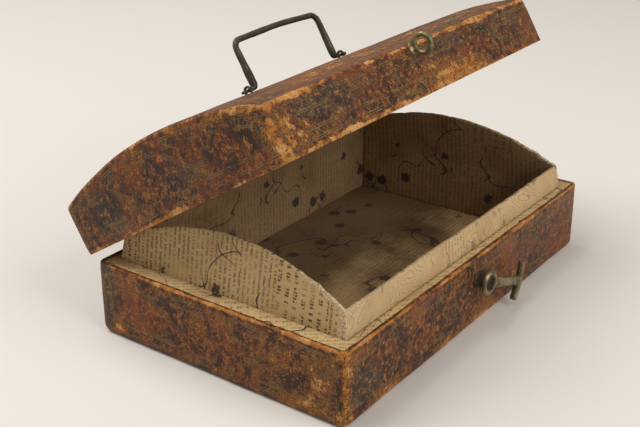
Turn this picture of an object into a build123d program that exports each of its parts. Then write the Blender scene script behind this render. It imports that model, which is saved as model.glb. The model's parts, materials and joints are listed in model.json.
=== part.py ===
from build123d import *
import math
import os

# An old travelling box: a shallow wooden case and a barrel-topped wooden lid, both covered
# with thin leather and lined with paper. The lid turns on two linked-wire hinges behind the
# case, a wire bail folds on the lid, and a brass hook on the case enters an eye on the lid.
#
# Millimetres. X runs along the box, the front faces -Y, +Z is up, and the origin is the middle
# of the underside. Lid pieces are drawn closed, on planes that are then swung open with on_lid.

os.makedirs("parts", exist_ok=True)

# ---- Overall sizes ----------------------------------------------------------------------
LENGTH = 300.0
DEPTH = 192.0
CASE_HEIGHT = 50.0
LID_SIDE_HEIGHT = 33.0
LID_RISE = 15.5
LID_GAP = 0.4
OPEN_ANGLE = 32.0

# ---- Boards, leather and paper ----------------------------------------------------------
LEATHER = 1.0
TURN_IN = 3.0
MITRE = 20.0
CORNER_ROUND = 5.0
BOTTOM_ROUND = 4.5
RIM_ROUND = 0.9
LID_TOP_ROUND = 2.6
BOTTOM_BOARD = 6.0
SIDE_BOARD = 8.0
END_BOARD = 12.0
LID_SIDE_BOARD = 6.0
LID_END_BOARD = 8.0
LID_TOP_BOARD = 5.0
LEDGE_PAPER = 0.5
LINING_PAPER = 0.6

# ---- Lining walls of the case -----------------------------------------------------------
FLOOR_CARD = 1.6
WALL_CARD = 2.4
END_WALL_RISE = 37.0
END_WALL_SHOULDER_RISE = 17.0
END_WALL_SHOULDER_INSET = 4.0
SIDE_WALL_RISE = 16.0
END_WALL_LEAN = 9.5
SIDE_WALL_LEAN = 7.0
WALL_CORNER_GAP = 2.4

# ---- Hinges -----------------------------------------------------------------------------
HINGE_BACK = 5.0
HINGE_DROP = 13.0
HINGE_INSET = 62.0
EYE_WIRE = 0.9
EYE_RING = 3.0
EYE_SHANK = 1.2
EYE_SHANK_DEPTH = 6.0
LINK_WIRE = 1.0
LINK_HALF_WIDTH = 4.2
LINK_RISE = 20.0
LINK_DEPTH = 5.0
LINK_BEND = 2.2

# ---- Bail handle ------------------------------------------------------------------------
HANDLE_X = 0.0
HANDLE_Y = 0.0
HANDLE_FEET = 88.0
HANDLE_TOP = 89.0
HANDLE_HEIGHT = 33.0
HANDLE_WIRE = 2.4
HANDLE_TOE = 13.0
HANDLE_CORNER = 6.0
HANDLE_FOOT_BEND = 4.0
HANDLE_CLEAR = 0.5
STAPLE_WIRE = 0.9
STAPLE_TOE = 7.5
STAPLE_DEPTH = 4.0
STAPLE_PLAY = 0.3

# ---- Hook and eye -----------------------------------------------------------------------
HOOK_X = 0.0
HOOK_DROP = 17.1
HOOK_BITE = 1.2
HOOK_REST = -21.0
HOOK_PROUD = 8.0
HOOK_PLATE = 3.0
HOOK_EYE_RADIUS = 8.4
HOOK_SHANK_WIDE = 7.4
HOOK_SHANK_NARROW = 6.0
HOOK_BAR = 3.0
HOOK_BAR_DEPTH = 5.0
HOOK_BAR_HALF_ANGLE = 16.8
PIVOT_NECK = 4.5
PIVOT_PLAY = 0.08
PIVOT_COLLAR = 5.6
PIVOT_FLANGE = 6.4
PIVOT_FLANGE_THICK = 1.4
PIVOT_HEAD = 5.6
PIVOT_HEAD_THICK = 0.9
PIVOT_DISH = 3.9
PIVOT_DISH_DEPTH = 5.0
PIVOT_TANG = 1.8
PIVOT_TANG_DEPTH = 7.0
PIVOT_END_PLAY = 0.15
CATCH_X = -3.5
CATCH_DROP = 3.0
CATCH_RING = 5.85
CATCH_WIRE = 1.5
CATCH_SHANK = 1.6
CATCH_ROSE = 4.6
CATCH_ROSE_THICK = 0.8
CATCH_SHANK_DEPTH = 5.0

# ---- Nails ------------------------------------------------------------------------------
NAIL = 0.9
NAIL_HEAD = 1.9
NAIL_HEAD_THICK = 0.8
NAIL_LENGTH = 16.0
NAIL_EDGE = 2.0
NAIL_CASE_LOW = 16.0
NAIL_CASE_DROP = 10.0
NAIL_LID_LOW = 7.6
NAIL_LID_DROP = 9.0
BOTTOM_NAIL_LENGTH = 14.0
BOTTOM_NAIL_X = 95.0
BOTTOM_NAIL_Y = 45.0

# ---- Places that follow from the sizes --------------------------------------------------
SIDE_INSIDE = DEPTH / 2 - LEATHER - SIDE_BOARD
END_INSIDE = LENGTH / 2 - LEATHER - END_BOARD
BOARD_TOP = CASE_HEIGHT - LEATHER
FLOOR_TOP = LEATHER + BOTTOM_BOARD + FLOOR_CARD
LID_LOW = CASE_HEIGHT + LID_GAP
LID_SPRING = LID_LOW + LID_SIDE_HEIGHT
LID_PEAK = LID_SPRING + LID_RISE
LID_RADIUS = ((DEPTH / 2) ** 2 + LID_RISE**2) / (2 * LID_RISE)
LID_CENTRE_Z = LID_PEAK - LID_RADIUS
LID_SIDE_INSIDE = DEPTH / 2 - LEATHER - LID_SIDE_BOARD
LID_END_INSIDE = LENGTH / 2 - LEATHER - LID_END_BOARD
HINGE_X = LENGTH / 2 - HINGE_INSET
HINGE_Y = DEPTH / 2 + HINGE_BACK
HINGE_Z = CASE_HEIGHT - HINGE_DROP
HANDLE_Z = LID_PEAK + HANDLE_WIRE + HANDLE_CLEAR
HOOK_Z = CASE_HEIGHT - HOOK_DROP
CATCH_Z = LID_SPRING - CATCH_DROP
HOOK_REACH = math.hypot(CATCH_X - HOOK_X, CATCH_Z - HOOK_Z) - HOOK_BITE
END_WALL_PEAK = CASE_HEIGHT + END_WALL_RISE
SIDE_WALL_TOP = CASE_HEIGHT + SIDE_WALL_RISE
FRONT = -DEPTH / 2
BIG = 2 * LENGTH

# ---- The lid's open position ------------------------------------------------------------
SWING = (
    Location((0, HINGE_Y, HINGE_Z))
    * Location((0, 0, 0), (-OPEN_ANGLE, 0, 0))
    * Location((0, -HINGE_Y, -HINGE_Z))
)


def on_lid(plane):
    """Give a plane drawn on the closed lid its place on the open lid."""
    return Plane(SWING * plane.location)


LID_FLAT = on_lid(Plane.XY)
LID_UPRIGHT = on_lid(Plane.XZ)
LID_ENDWISE = on_lid(Plane.YZ)
LID_UP = LID_FLAT.z_dir


def rounded_plan(plane, inset):
    """Sketch the box's plan, drawn in by inset, with its corners rounded."""
    with BuildSketch(plane) as plan:
        RectangleRounded(LENGTH - 2 * inset, DEPTH - 2 * inset, CORNER_ROUND - inset)
    return plan.sketch


def case_block(inset, low, high):
    """Add the case's outline, drawn in by inset, with rounded corners and lower edges."""
    block = extrude(rounded_plan(Plane.XY.offset(low), inset), amount=high - low)
    fillet(block.edges().group_by(Axis.Z)[0], BOTTOM_ROUND - inset)


def arch_prism(half, radius, low, reach, mode):
    """Run the lid's section along X, flat below and arched above, half wide and reach long each way."""
    spring = LID_CENTRE_Z + math.sqrt(radius**2 - half**2)
    with BuildSketch(on_lid(Plane.YZ.offset(-reach))) as section:
        with BuildLine():
            Polyline((-half, spring), (-half, low), (half, low), (half, spring))
            ThreePointArc((half, spring), (0, LID_CENTRE_Z + radius), (-half, spring))
        make_face()
    extrude(section.sketch, amount=2 * reach, mode=mode)


def is_upright(edge):
    """Tell whether an edge is a straight one that stands up from the open lid's rim."""
    return edge.geom_type == GeomType.LINE and abs(edge.tangent_at(0).dot(LID_UP)) > 0.99


def lid_block(inset, low):
    """Add the lid's outline, drawn in by inset, with rounded corners and rounded upper edges."""
    half = DEPTH / 2 - inset
    arch_prism(half, LID_RADIUS - inset, low, LENGTH / 2 - inset, Mode.ADD)
    fillet(edges().filter_by(is_upright), CORNER_ROUND - inset)
    crown = faces().filter_by(GeomType.CYLINDER).sort_by(SortBy.AREA)[-1]
    fillet(crown.edges(), LID_TOP_ROUND - inset)


def slab(plane, low, high, mode=Mode.INTERSECT):
    """Keep, or cut away, what lies between two offsets of a plane."""
    with BuildSketch(plane.offset(low)) as sheet:
        Rectangle(BIG, BIG)
    extrude(sheet.sketch, amount=high - low, mode=mode)


def mitre_sector(plane, quarter_turns):
    """Keep one side of a mitred frame: 0 is the front, then right, back and left."""
    along, across = (LENGTH, DEPTH) if quarter_turns % 2 == 0 else (DEPTH, LENGTH)
    outer = (along / 2 + MITRE, across / 2 + MITRE)
    inner = (along / 2 - MITRE, across / 2 - MITRE)
    with BuildSketch(plane) as sector:
        with Locations(Location((0, 0, 0), (0, 0, 90 * quarter_turns))):
            Polygon(
                (-outer[0], -outer[1]),
                (outer[0], -outer[1]),
                (inner[0], -inner[1]),
                (-inner[0], -inner[1]),
                align=None,
            )
    extrude(sector.sketch, amount=BIG, both=True, mode=Mode.INTERSECT)


def cut_for(*pieces):
    """Cut away the space that fasteners or fittings fill."""
    for piece in pieces:
        add(piece.part, mode=Mode.SUBTRACT)


def bent_wire(plane, points, bends, radius):
    """Add round wire along straight runs, joined by bends."""
    with BuildLine(plane) as route:
        FilletPolyline(*points, radius=bends)
    with BuildSketch(Plane(origin=route.line @ 0, z_dir=route.line % 0)) as end_face:
        Circle(radius)
    sweep(end_face.sketch, path=route.line)


SIDES = {"front": 0, "right": 1, "back": 2, "left": 3}
ENDS = {"left": -1, "right": 1}

# ---- Linked-wire hinges -----------------------------------------------------------------
hinge_eyes = {}
hinge_links = {}
for end, sign in ENDS.items():
    hinge_x = sign * HINGE_X
    with BuildPart() as hinge_eye:
        with Locations(Location((hinge_x, HINGE_Y, HINGE_Z), (0, 90, 0))):
            Torus(EYE_RING, EYE_WIRE)
        with BuildSketch(Plane.XZ.offset(EYE_RING - HINGE_Y)):
            with Locations((hinge_x, HINGE_Z)):
                Circle(EYE_SHANK)
        extrude(amount=HINGE_BACK - EYE_RING + LEATHER + EYE_SHANK_DEPTH)
    hinge_eye.part.label = f"case_hinge_eye_{end}"
    export_step(hinge_eye.part, f"parts/case_hinge_eye_{end}.step")
    hinge_eyes[end] = hinge_eye

    left_leg = hinge_x - LINK_HALF_WIDTH
    right_leg = hinge_x + LINK_HALF_WIDTH
    leg_top = HINGE_Z + LINK_RISE
    leg_tip = DEPTH / 2 - LINK_DEPTH
    with BuildPart() as hinge_link:
        link_points = [
            (left_leg, leg_tip, leg_top),
            (left_leg, HINGE_Y, leg_top),
            (left_leg, HINGE_Y, HINGE_Z),
            (right_leg, HINGE_Y, HINGE_Z),
            (right_leg, HINGE_Y, leg_top),
            (right_leg, leg_tip, leg_top),
        ]
        bent_wire(LID_FLAT, link_points, LINK_BEND, LINK_WIRE)
    hinge_link.part.label = f"lid_hinge_link_{end}"
    export_step(hinge_link.part, f"parts/lid_hinge_link_{end}.step")
    hinge_links[end] = hinge_link

# ---- Bail handle and its staples --------------------------------------------------------
with BuildPart() as handle_bail:
    handle_points = [
        (HANDLE_X - HANDLE_FEET / 2 - HANDLE_TOE, HANDLE_Y, HANDLE_Z),
        (HANDLE_X - HANDLE_FEET / 2, HANDLE_Y, HANDLE_Z),
        (HANDLE_X - HANDLE_TOP / 2, HANDLE_Y, HANDLE_Z + HANDLE_HEIGHT),
        (HANDLE_X + HANDLE_TOP / 2, HANDLE_Y, HANDLE_Z + HANDLE_HEIGHT),
        (HANDLE_X + HANDLE_FEET / 2, HANDLE_Y, HANDLE_Z),
        (HANDLE_X + HANDLE_FEET / 2 + HANDLE_TOE, HANDLE_Y, HANDLE_Z),
    ]
    handle_bends = [HANDLE_FOOT_BEND, HANDLE_CORNER, HANDLE_CORNER, HANDLE_FOOT_BEND]
    bent_wire(LID_FLAT, handle_points, handle_bends, HANDLE_WIRE)
handle_bail.part.label = "handle_bail"
export_step(handle_bail.part, "parts/handle_bail.step")

handle_staples = {}
for end, sign in ENDS.items():
    staple_x = HANDLE_X + sign * (HANDLE_FEET / 2 + STAPLE_TOE)
    staple_reach = HANDLE_WIRE + HANDLE_CLEAR + STAPLE_WIRE
    staple_tip = LID_PEAK - LEATHER - STAPLE_DEPTH
    with BuildPart() as handle_staple:
        staple_points = [
            (staple_x, HANDLE_Y - staple_reach, staple_tip),
            (staple_x, HANDLE_Y - staple_reach, HANDLE_Z + staple_reach),
            (staple_x, HANDLE_Y + staple_reach, HANDLE_Z + staple_reach),
            (staple_x, HANDLE_Y + staple_reach, staple_tip),
        ]
        bent_wire(LID_FLAT, staple_points, staple_reach - STAPLE_PLAY, STAPLE_WIRE)
    handle_staple.part.label = f"handle_staple_{end}"
    export_step(handle_staple.part, f"parts/handle_staple_{end}.step")
    handle_staples[end] = handle_staple

# ---- Eye on the front of the lid --------------------------------------------------------
CATCH_Y = FRONT - HOOK_PROUD
with BuildPart() as catch_eye:
    with Locations(SWING * Location((CATCH_X, CATCH_Y, CATCH_Z), (0, 90, 0))):
        Torus(CATCH_RING, CATCH_WIRE)
    with BuildSketch(LID_UPRIGHT.offset(-CATCH_Y - CATCH_RING)):
        with Locations((CATCH_X, CATCH_Z)):
            Circle(CATCH_SHANK)
    extrude(amount=CATCH_RING - HOOK_PROUD - LEATHER - CATCH_SHANK_DEPTH)
catch_eye.part.label = "catch_eye"
export_step(catch_eye.part, "parts/catch_eye.step")

with BuildPart() as catch_rose:
    with BuildSketch(LID_UPRIGHT.offset(-FRONT)):
        with Locations((CATCH_X, CATCH_Z)):
            Circle(CATCH_ROSE)
    extrude(amount=CATCH_ROSE_THICK)
    cut_for(catch_eye)
catch_rose.part.label = "catch_rose"
export_step(catch_rose.part, "parts/catch_rose.step")

# ---- Hook and its pivot on the front of the case ----------------------------------------
hook_turn = math.radians(HOOK_REST)
HOOK_FRAME = Plane(
    origin=(HOOK_X, FRONT, HOOK_Z),
    x_dir=(math.cos(hook_turn), 0, math.sin(hook_turn)),
    z_dir=(0, -1, 0),
)
HOOK_LOW = HOOK_PROUD - HOOK_PLATE / 2
bar_line = CenterArc((0, 0), HOOK_REACH, -HOOK_BAR_HALF_ANGLE, 2 * HOOK_BAR_HALF_ANGLE)
with BuildPart() as hook_arm:
    with BuildSketch(HOOK_FRAME.offset(HOOK_LOW)):
        Circle(HOOK_EYE_RADIUS)
        Polygon(
            (0, HOOK_SHANK_WIDE / 2),
            (0, -HOOK_SHANK_WIDE / 2),
            (HOOK_REACH, -HOOK_SHANK_NARROW / 2),
            (HOOK_REACH, HOOK_SHANK_NARROW / 2),
            align=None,
        )
        Circle(PIVOT_NECK + PIVOT_PLAY, mode=Mode.SUBTRACT)
    extrude(amount=HOOK_PLATE)
    with BuildSketch(HOOK_FRAME.offset(HOOK_PROUD - HOOK_BAR_DEPTH / 2)):
        SlotArc(bar_line, HOOK_BAR)
    extrude(amount=HOOK_BAR_DEPTH)
hook_arm.part.label = "hook_arm"
export_step(hook_arm.part, "parts/hook_arm.step")

with BuildPart() as hook_pivot:
    pivot_frame = Plane(origin=(HOOK_X, FRONT, HOOK_Z), x_dir=(1, 0, 0), z_dir=(0, 0, -1))
    shoulder = HOOK_LOW - PIVOT_END_PLAY
    head_low = HOOK_LOW + HOOK_PLATE + PIVOT_END_PLAY
    head_top = head_low + PIVOT_HEAD_THICK
    with BuildSketch(pivot_frame):
        Polygon(
            (0, -LEATHER - PIVOT_TANG_DEPTH),
            (PIVOT_TANG, -LEATHER - PIVOT_TANG_DEPTH),
            (PIVOT_TANG, 0),
            (PIVOT_FLANGE, 0),
            (PIVOT_FLANGE, PIVOT_FLANGE_THICK),
            (PIVOT_COLLAR, PIVOT_FLANGE_THICK),
            (PIVOT_COLLAR, shoulder),
            (PIVOT_NECK, shoulder),
            (PIVOT_NECK, head_low),
            (PIVOT_HEAD, head_low),
            (PIVOT_HEAD, head_top),
            (PIVOT_DISH, head_top),
            (PIVOT_DISH, head_top - PIVOT_DISH_DEPTH),
            (0, head_top - PIVOT_DISH_DEPTH),
            align=None,
        )
    revolve(axis=Axis(origin=(HOOK_X, FRONT, HOOK_Z), direction=(0, -1, 0)))
hook_pivot.part.label = "hook_pivot"
export_step(hook_pivot.part, "parts/hook_pivot.step")

# ---- Nails ------------------------------------------------------------------------------
def nail(x, y, z, outward, length):
    """Add a nail driven in against the outward direction, its head flush at the point given."""
    for radius, depth in ((NAIL_HEAD, NAIL_HEAD_THICK), (NAIL, length)):
        with BuildSketch(Plane(origin=(x, y, z), z_dir=outward)) as disc:
            Circle(radius)
        extrude(disc.sketch, amount=-depth)


nail_x = END_INSIDE + END_BOARD / 2
lid_nail_x = LID_END_INSIDE + NAIL_EDGE
nail_face = DEPTH / 2 - LEATHER

with BuildPart() as case_nails:
    for x in (-nail_x, nail_x):
        for z in (NAIL_CASE_LOW, CASE_HEIGHT - NAIL_CASE_DROP):
            nail(x, -nail_face, z, (0, -1, 0), NAIL_LENGTH)
            nail(x, nail_face, z, (0, 1, 0), NAIL_LENGTH)
case_nails.part.label = "case_nails"
export_step(case_nails.part, "parts/case_nails.step")

with BuildPart() as bottom_nails:
    side_nail_y = SIDE_INSIDE + SIDE_BOARD / 2
    for y in (-side_nail_y, side_nail_y):
        for x in (-BOTTOM_NAIL_X, 0, BOTTOM_NAIL_X):
            nail(x, y, LEATHER, (0, 0, -1), BOTTOM_NAIL_LENGTH)
    for x in (-nail_x, nail_x):
        for y in (-BOTTOM_NAIL_Y, BOTTOM_NAIL_Y):
            nail(x, y, LEATHER, (0, 0, -1), BOTTOM_NAIL_LENGTH)
bottom_nails.part.label = "bottom_nails"
export_step(bottom_nails.part, "parts/bottom_nails.step")

with BuildPart() as lid_nails:
    for x in (-lid_nail_x, lid_nail_x):
        for z in (LID_LOW + NAIL_LID_LOW, LID_SPRING - NAIL_LID_DROP):
            for face in (-1, 1):
                spot = on_lid(Plane(origin=(x, face * nail_face, z), z_dir=(0, face, 0)))
                nail(*spot.origin, spot.z_dir, NAIL_LENGTH)
lid_nails.part.label = "lid_nails"
export_step(lid_nails.part, "parts/lid_nails.step")

# ---- Wooden case ------------------------------------------------------------------------
with BuildPart() as case_core:
    case_block(LEATHER, LEATHER, BOARD_TOP)

with BuildPart() as case_bottom_board:
    add(case_core.part)
    slab(Plane.XY, 0, LEATHER + BOTTOM_BOARD)
    cut_for(bottom_nails)
case_bottom_board.part.label = "case_bottom_board"
export_step(case_bottom_board.part, "parts/case_bottom_board.step")

for side, facing in (("front", -1), ("back", 1)):
    with BuildPart() as case_side_board:
        add(case_core.part)
        slab(Plane.XY, LEATHER + BOTTOM_BOARD, CASE_HEIGHT)
        slab(Plane.XZ, *sorted((-facing * SIDE_INSIDE, -facing * DEPTH)))
        cut_for(case_nails, bottom_nails, hook_pivot, *hinge_eyes.values())
    case_side_board.part.label = f"case_{side}_board"
    export_step(case_side_board.part, f"parts/case_{side}_board.step")

for end, sign in ENDS.items():
    with BuildPart() as case_end_board:
        add(case_core.part)
        slab(Plane.XY, LEATHER + BOTTOM_BOARD, CASE_HEIGHT)
        slab(Plane.XZ, -SIDE_INSIDE, SIDE_INSIDE)
        slab(Plane.YZ, *sorted((sign * END_INSIDE, sign * LENGTH)))
        cut_for(case_nails, bottom_nails)
    case_end_board.part.label = f"case_{end}_end_board"
    export_step(case_end_board.part, f"parts/case_{end}_end_board.step")

# ---- Leather of the case ----------------------------------------------------------------
with BuildPart() as case_skin:
    case_block(0, 0, CASE_HEIGHT)
    fillet(edges().group_by(Axis.Z)[-1], RIM_ROUND)
    add(case_core.part, mode=Mode.SUBTRACT)
    extrude(rounded_plan(Plane.XY.offset(LEATHER), TURN_IN), amount=CASE_HEIGHT, mode=Mode.SUBTRACT)

with BuildPart() as case_cover_underside:
    case_block(0, 0, CASE_HEIGHT)
    slab(Plane.XY, 0, LEATHER)
case_cover_underside.part.label = "case_cover_underside"
export_step(case_cover_underside.part, "parts/case_cover_underside.step")

for side, quarter_turns in SIDES.items():
    with BuildPart() as case_cover:
        add(case_skin.part)
        slab(Plane.XY, LEATHER, CASE_HEIGHT)
        mitre_sector(Plane.XY, quarter_turns)
        cut_for(hook_pivot, *hinge_eyes.values())
    case_cover.part.label = f"case_cover_{side}"
    export_step(case_cover.part, f"parts/case_cover_{side}.step")

# ---- Lining of the case -----------------------------------------------------------------
with BuildPart() as liner_floor:
    with BuildSketch(Plane.XY.offset(LEATHER + BOTTOM_BOARD)):
        Rectangle(2 * END_INSIDE, 2 * SIDE_INSIDE)
    extrude(amount=FLOOR_CARD)
liner_floor.part.label = "liner_floor"
export_step(liner_floor.part, "parts/liner_floor.step")


def leaning_card(plane, inside, top, lean, reach):
    """Add a card standing against an inside face, upright to the rim and then leaning inwards."""
    drift = (top - CASE_HEIGHT) * math.tan(math.radians(lean))
    with BuildSketch(plane.offset(-reach)) as section:
        Polygon(
            (inside, FLOOR_TOP),
            (inside, CASE_HEIGHT),
            (inside - drift, top),
            (inside - drift - WALL_CARD, top),
            (inside - WALL_CARD, CASE_HEIGHT),
            (inside - WALL_CARD, FLOOR_TOP),
            align=None,
        )
    extrude(section.sketch, amount=2 * reach)


end_wall_drop = END_WALL_RISE - END_WALL_SHOULDER_RISE
end_wall_half = SIDE_INSIDE - END_WALL_SHOULDER_INSET
end_wall_radius = (end_wall_half**2 + end_wall_drop**2) / (2 * end_wall_drop)
for end, sign in ENDS.items():
    with BuildPart() as liner_end:
        end_plane = Plane(origin=(0, 0, 0), x_dir=(sign, 0, 0), z_dir=(0, -sign, 0))
        leaning_card(end_plane, END_INSIDE, END_WALL_PEAK, END_WALL_LEAN, SIDE_INSIDE)
        with BuildSketch(Plane.YZ.offset(-LENGTH / 2)):
            with Locations((0, END_WALL_PEAK - end_wall_radius)):
                Circle(end_wall_radius)
            half_width = SIDE_INSIDE - WALL_CARD - WALL_CORNER_GAP
            with Locations((0, CASE_HEIGHT)):
                Rectangle(2 * half_width, 2 * CASE_HEIGHT, mode=Mode.INTERSECT)
        extrude(amount=LENGTH, mode=Mode.INTERSECT)
    liner_end.part.label = f"liner_{end}_wall"
    export_step(liner_end.part, f"parts/liner_{end}_wall.step")

for side, facing in (("front", -1), ("back", 1)):
    with BuildPart() as liner_side:
        side_plane = Plane(origin=(0, 0, 0), x_dir=(0, facing, 0), z_dir=(facing, 0, 0))
        leaning_card(side_plane, SIDE_INSIDE, SIDE_WALL_TOP, SIDE_WALL_LEAN, END_INSIDE)
        end_drift = (SIDE_WALL_TOP - CASE_HEIGHT) * math.tan(math.radians(END_WALL_LEAN))
        with BuildSketch(Plane.XZ.offset(-DEPTH / 2)):
            Polygon(
                (-END_INSIDE, 0),
                (END_INSIDE, 0),
                (END_INSIDE, CASE_HEIGHT),
                (END_INSIDE - end_drift, SIDE_WALL_TOP),
                (end_drift - END_INSIDE, SIDE_WALL_TOP),
                (-END_INSIDE, CASE_HEIGHT),
                align=None,
            )
        extrude(amount=DEPTH, mode=Mode.INTERSECT)
    liner_side.part.label = f"liner_{side}_wall"
    export_step(liner_side.part, f"parts/liner_{side}_wall.step")

with BuildPart() as ledge_ring:
    extrude(rounded_plan(Plane.XY.offset(BOARD_TOP), TURN_IN), amount=LEDGE_PAPER)
    with BuildSketch(Plane.XY.offset(BOARD_TOP)):
        Rectangle(2 * END_INSIDE, 2 * SIDE_INSIDE)
    extrude(amount=LEDGE_PAPER, mode=Mode.SUBTRACT)

for side, quarter_turns in SIDES.items():
    with BuildPart() as ledge_paper:
        add(ledge_ring.part)
        mitre_sector(Plane.XY, quarter_turns)
    ledge_paper.part.label = f"ledge_paper_{side}"
    export_step(ledge_paper.part, f"parts/ledge_paper_{side}.step")

# ---- Wooden lid -------------------------------------------------------------------------
LID_BOARD_LOW = LID_LOW + LEATHER
UNDER_TOP = LID_RADIUS - LEATHER - LID_TOP_BOARD
with BuildPart() as lid_core:
    lid_block(LEATHER, LID_BOARD_LOW)

with BuildPart() as lid_top_board:
    add(lid_core.part)
    arch_prism(DEPTH / 2, UNDER_TOP, 0, LENGTH, Mode.SUBTRACT)
    cut_for(catch_eye, *handle_staples.values())
lid_top_board.part.label = "lid_top_board"
export_step(lid_top_board.part, "parts/lid_top_board.step")

for side, facing in (("front", -1), ("back", 1)):
    with BuildPart() as lid_side_board:
        add(lid_core.part)
        arch_prism(DEPTH / 2, UNDER_TOP, 0, LENGTH, Mode.INTERSECT)
        slab(LID_UPRIGHT, *sorted((-facing * LID_SIDE_INSIDE, -facing * DEPTH)))
        cut_for(lid_nails, catch_eye, *hinge_links.values())
    lid_side_board.part.label = f"lid_{side}_board"
    export_step(lid_side_board.part, f"parts/lid_{side}_board.step")

for end, sign in ENDS.items():
    with BuildPart() as lid_end_board:
        add(lid_core.part)
        arch_prism(DEPTH / 2, UNDER_TOP, 0, LENGTH, Mode.INTERSECT)
        slab(LID_UPRIGHT, -LID_SIDE_INSIDE, LID_SIDE_INSIDE)
        slab(LID_ENDWISE, *sorted((sign * LID_END_INSIDE, sign * LENGTH)))
        cut_for(lid_nails)
    lid_end_board.part.label = f"lid_{end}_end_board"
    export_step(lid_end_board.part, f"parts/lid_{end}_end_board.step")

# ---- Leather of the lid -----------------------------------------------------------------
with BuildPart() as lid_skin:
    lid_block(0, LID_LOW)
    add(lid_core.part, mode=Mode.SUBTRACT)
    opening = rounded_plan(LID_FLAT.offset(LID_LOW), TURN_IN)
    extrude(opening, amount=LEATHER, mode=Mode.SUBTRACT)

with BuildPart() as lid_cover_top:
    add(lid_skin.part)
    arch_prism(DEPTH / 2, LID_RADIUS - LEATHER, 0, LENGTH, Mode.SUBTRACT)
    cut_for(catch_eye, *handle_staples.values())
lid_cover_top.part.label = "lid_cover_top"
export_step(lid_cover_top.part, "parts/lid_cover_top.step")

for side, quarter_turns in SIDES.items():
    with BuildPart() as lid_cover:
        add(lid_skin.part)
        arch_prism(DEPTH / 2, LID_RADIUS - LEATHER, 0, LENGTH, Mode.INTERSECT)
        mitre_sector(LID_FLAT, quarter_turns)
        cut_for(catch_eye, *hinge_links.values())
    lid_cover.part.label = f"lid_cover_{side}"
    export_step(lid_cover.part, f"parts/lid_cover_{side}.step")

# ---- Lining of the lid ------------------------------------------------------------------
with BuildPart() as lid_lining:
    arch_prism(LID_SIDE_INSIDE, UNDER_TOP, LID_BOARD_LOW, LID_END_INSIDE, Mode.ADD)
    papered_half = LID_SIDE_INSIDE - LINING_PAPER
    papered_reach = LID_END_INSIDE - LINING_PAPER
    arch_prism(papered_half, UNDER_TOP - LINING_PAPER, 0, papered_reach, Mode.SUBTRACT)
lid_lining.part.label = "lid_lining"
export_step(lid_lining.part, "parts/lid_lining.step")
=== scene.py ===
"""An old travelling box covered with tooled leather and lined with waste paper, its barrel lid open.

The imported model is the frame. Leather, lining, handle, catch and hinges are modelled here over it, and
the boards and nails stay as they are packed, with their own finishes. Metres, in the model's frame.
"""

import json
import logging
import math
from collections.abc import Callable, Iterable, Sequence
from dataclasses import dataclass, field
from enum import Enum

import bmesh
import bpy
from mathutils import Matrix, Vector, noise

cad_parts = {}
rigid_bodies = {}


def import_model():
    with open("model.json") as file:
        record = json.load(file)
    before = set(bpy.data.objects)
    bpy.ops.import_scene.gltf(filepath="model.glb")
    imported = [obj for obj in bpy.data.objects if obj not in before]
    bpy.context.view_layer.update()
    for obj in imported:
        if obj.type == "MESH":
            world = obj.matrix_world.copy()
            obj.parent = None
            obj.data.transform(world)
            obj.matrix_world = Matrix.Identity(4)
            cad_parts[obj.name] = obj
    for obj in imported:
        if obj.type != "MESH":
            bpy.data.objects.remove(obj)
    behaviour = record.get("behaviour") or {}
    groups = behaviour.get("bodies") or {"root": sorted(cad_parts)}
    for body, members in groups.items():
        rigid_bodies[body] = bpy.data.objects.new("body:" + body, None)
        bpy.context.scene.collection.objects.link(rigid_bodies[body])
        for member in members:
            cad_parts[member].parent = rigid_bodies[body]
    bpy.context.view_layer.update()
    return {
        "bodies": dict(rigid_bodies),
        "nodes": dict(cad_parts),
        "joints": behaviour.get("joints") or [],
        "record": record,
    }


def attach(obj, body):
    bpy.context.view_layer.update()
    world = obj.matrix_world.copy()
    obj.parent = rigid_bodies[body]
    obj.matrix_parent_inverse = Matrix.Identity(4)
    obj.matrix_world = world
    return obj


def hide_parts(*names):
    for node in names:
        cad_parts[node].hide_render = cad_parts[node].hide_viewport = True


LOG = logging.getLogger("box")
MM = 0.001
Colour = tuple[float, float, float]
Socket = bpy.types.NodeSocket
Level = Socket | float
Station = tuple[Vector, Vector, float, float]

# ---- Sizes shared by the sub-assemblies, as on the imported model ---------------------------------
LENGTH = 300 * MM
DEPTH = 192 * MM
CASE_HEIGHT = 50 * MM
LID_LOW = 50.4 * MM
LID_SIDE = 33.0 * MM
LID_RISE = 15.5 * MM
LID_PEAK = LID_LOW + LID_SIDE + LID_RISE
ARCH_RADIUS = ((DEPTH / 2) ** 2 + LID_RISE**2) / (2 * LID_RISE)
HINGE = Vector((0.0, 101 * MM, 37 * MM))
OPEN_ANGLE = math.radians(32.0)
SWING = Matrix.Translation(HINGE) @ Matrix.Rotation(-OPEN_ANGLE, 4, "X") @ Matrix.Translation(-HINGE)
HIDE_UV = "hide"
SHEET_UV = "sheet"


class Body(Enum):
    """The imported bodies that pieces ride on."""

    CASE = "case"
    LID = "lid"
    HANDLE = "handle"
    HOOK = "hook"


class Finish(Enum):
    """The record's material slots."""

    CASE_LEATHER = "case_leather"
    LID_LEATHER = "lid_leather"
    WOOD = "wood"
    PAPER = "printed_paper"
    WIRE = "iron_wire"
    NAILS = "iron_nails"
    BRASS = "brass"


class Pattern(Enum):
    """What a paper's pattern follows."""

    SHEET = "sheet"
    OBJECT = "object"


# ---- Small helpers ------------------------------------------------------------------------------
def smooth(value: float, low: float, high: float) -> float:
    """Ease a value from 0 at low to 1 at high.

    Args:
        value: What is eased.
        low: Where the result is 0.
        high: Where the result is 1; it may be below low.

    Returns:
        A share from 0 to 1.
    """
    share = min(1.0, max(0.0, (value - low) / (high - low)))
    return share * share * (3 - 2 * share)


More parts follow.
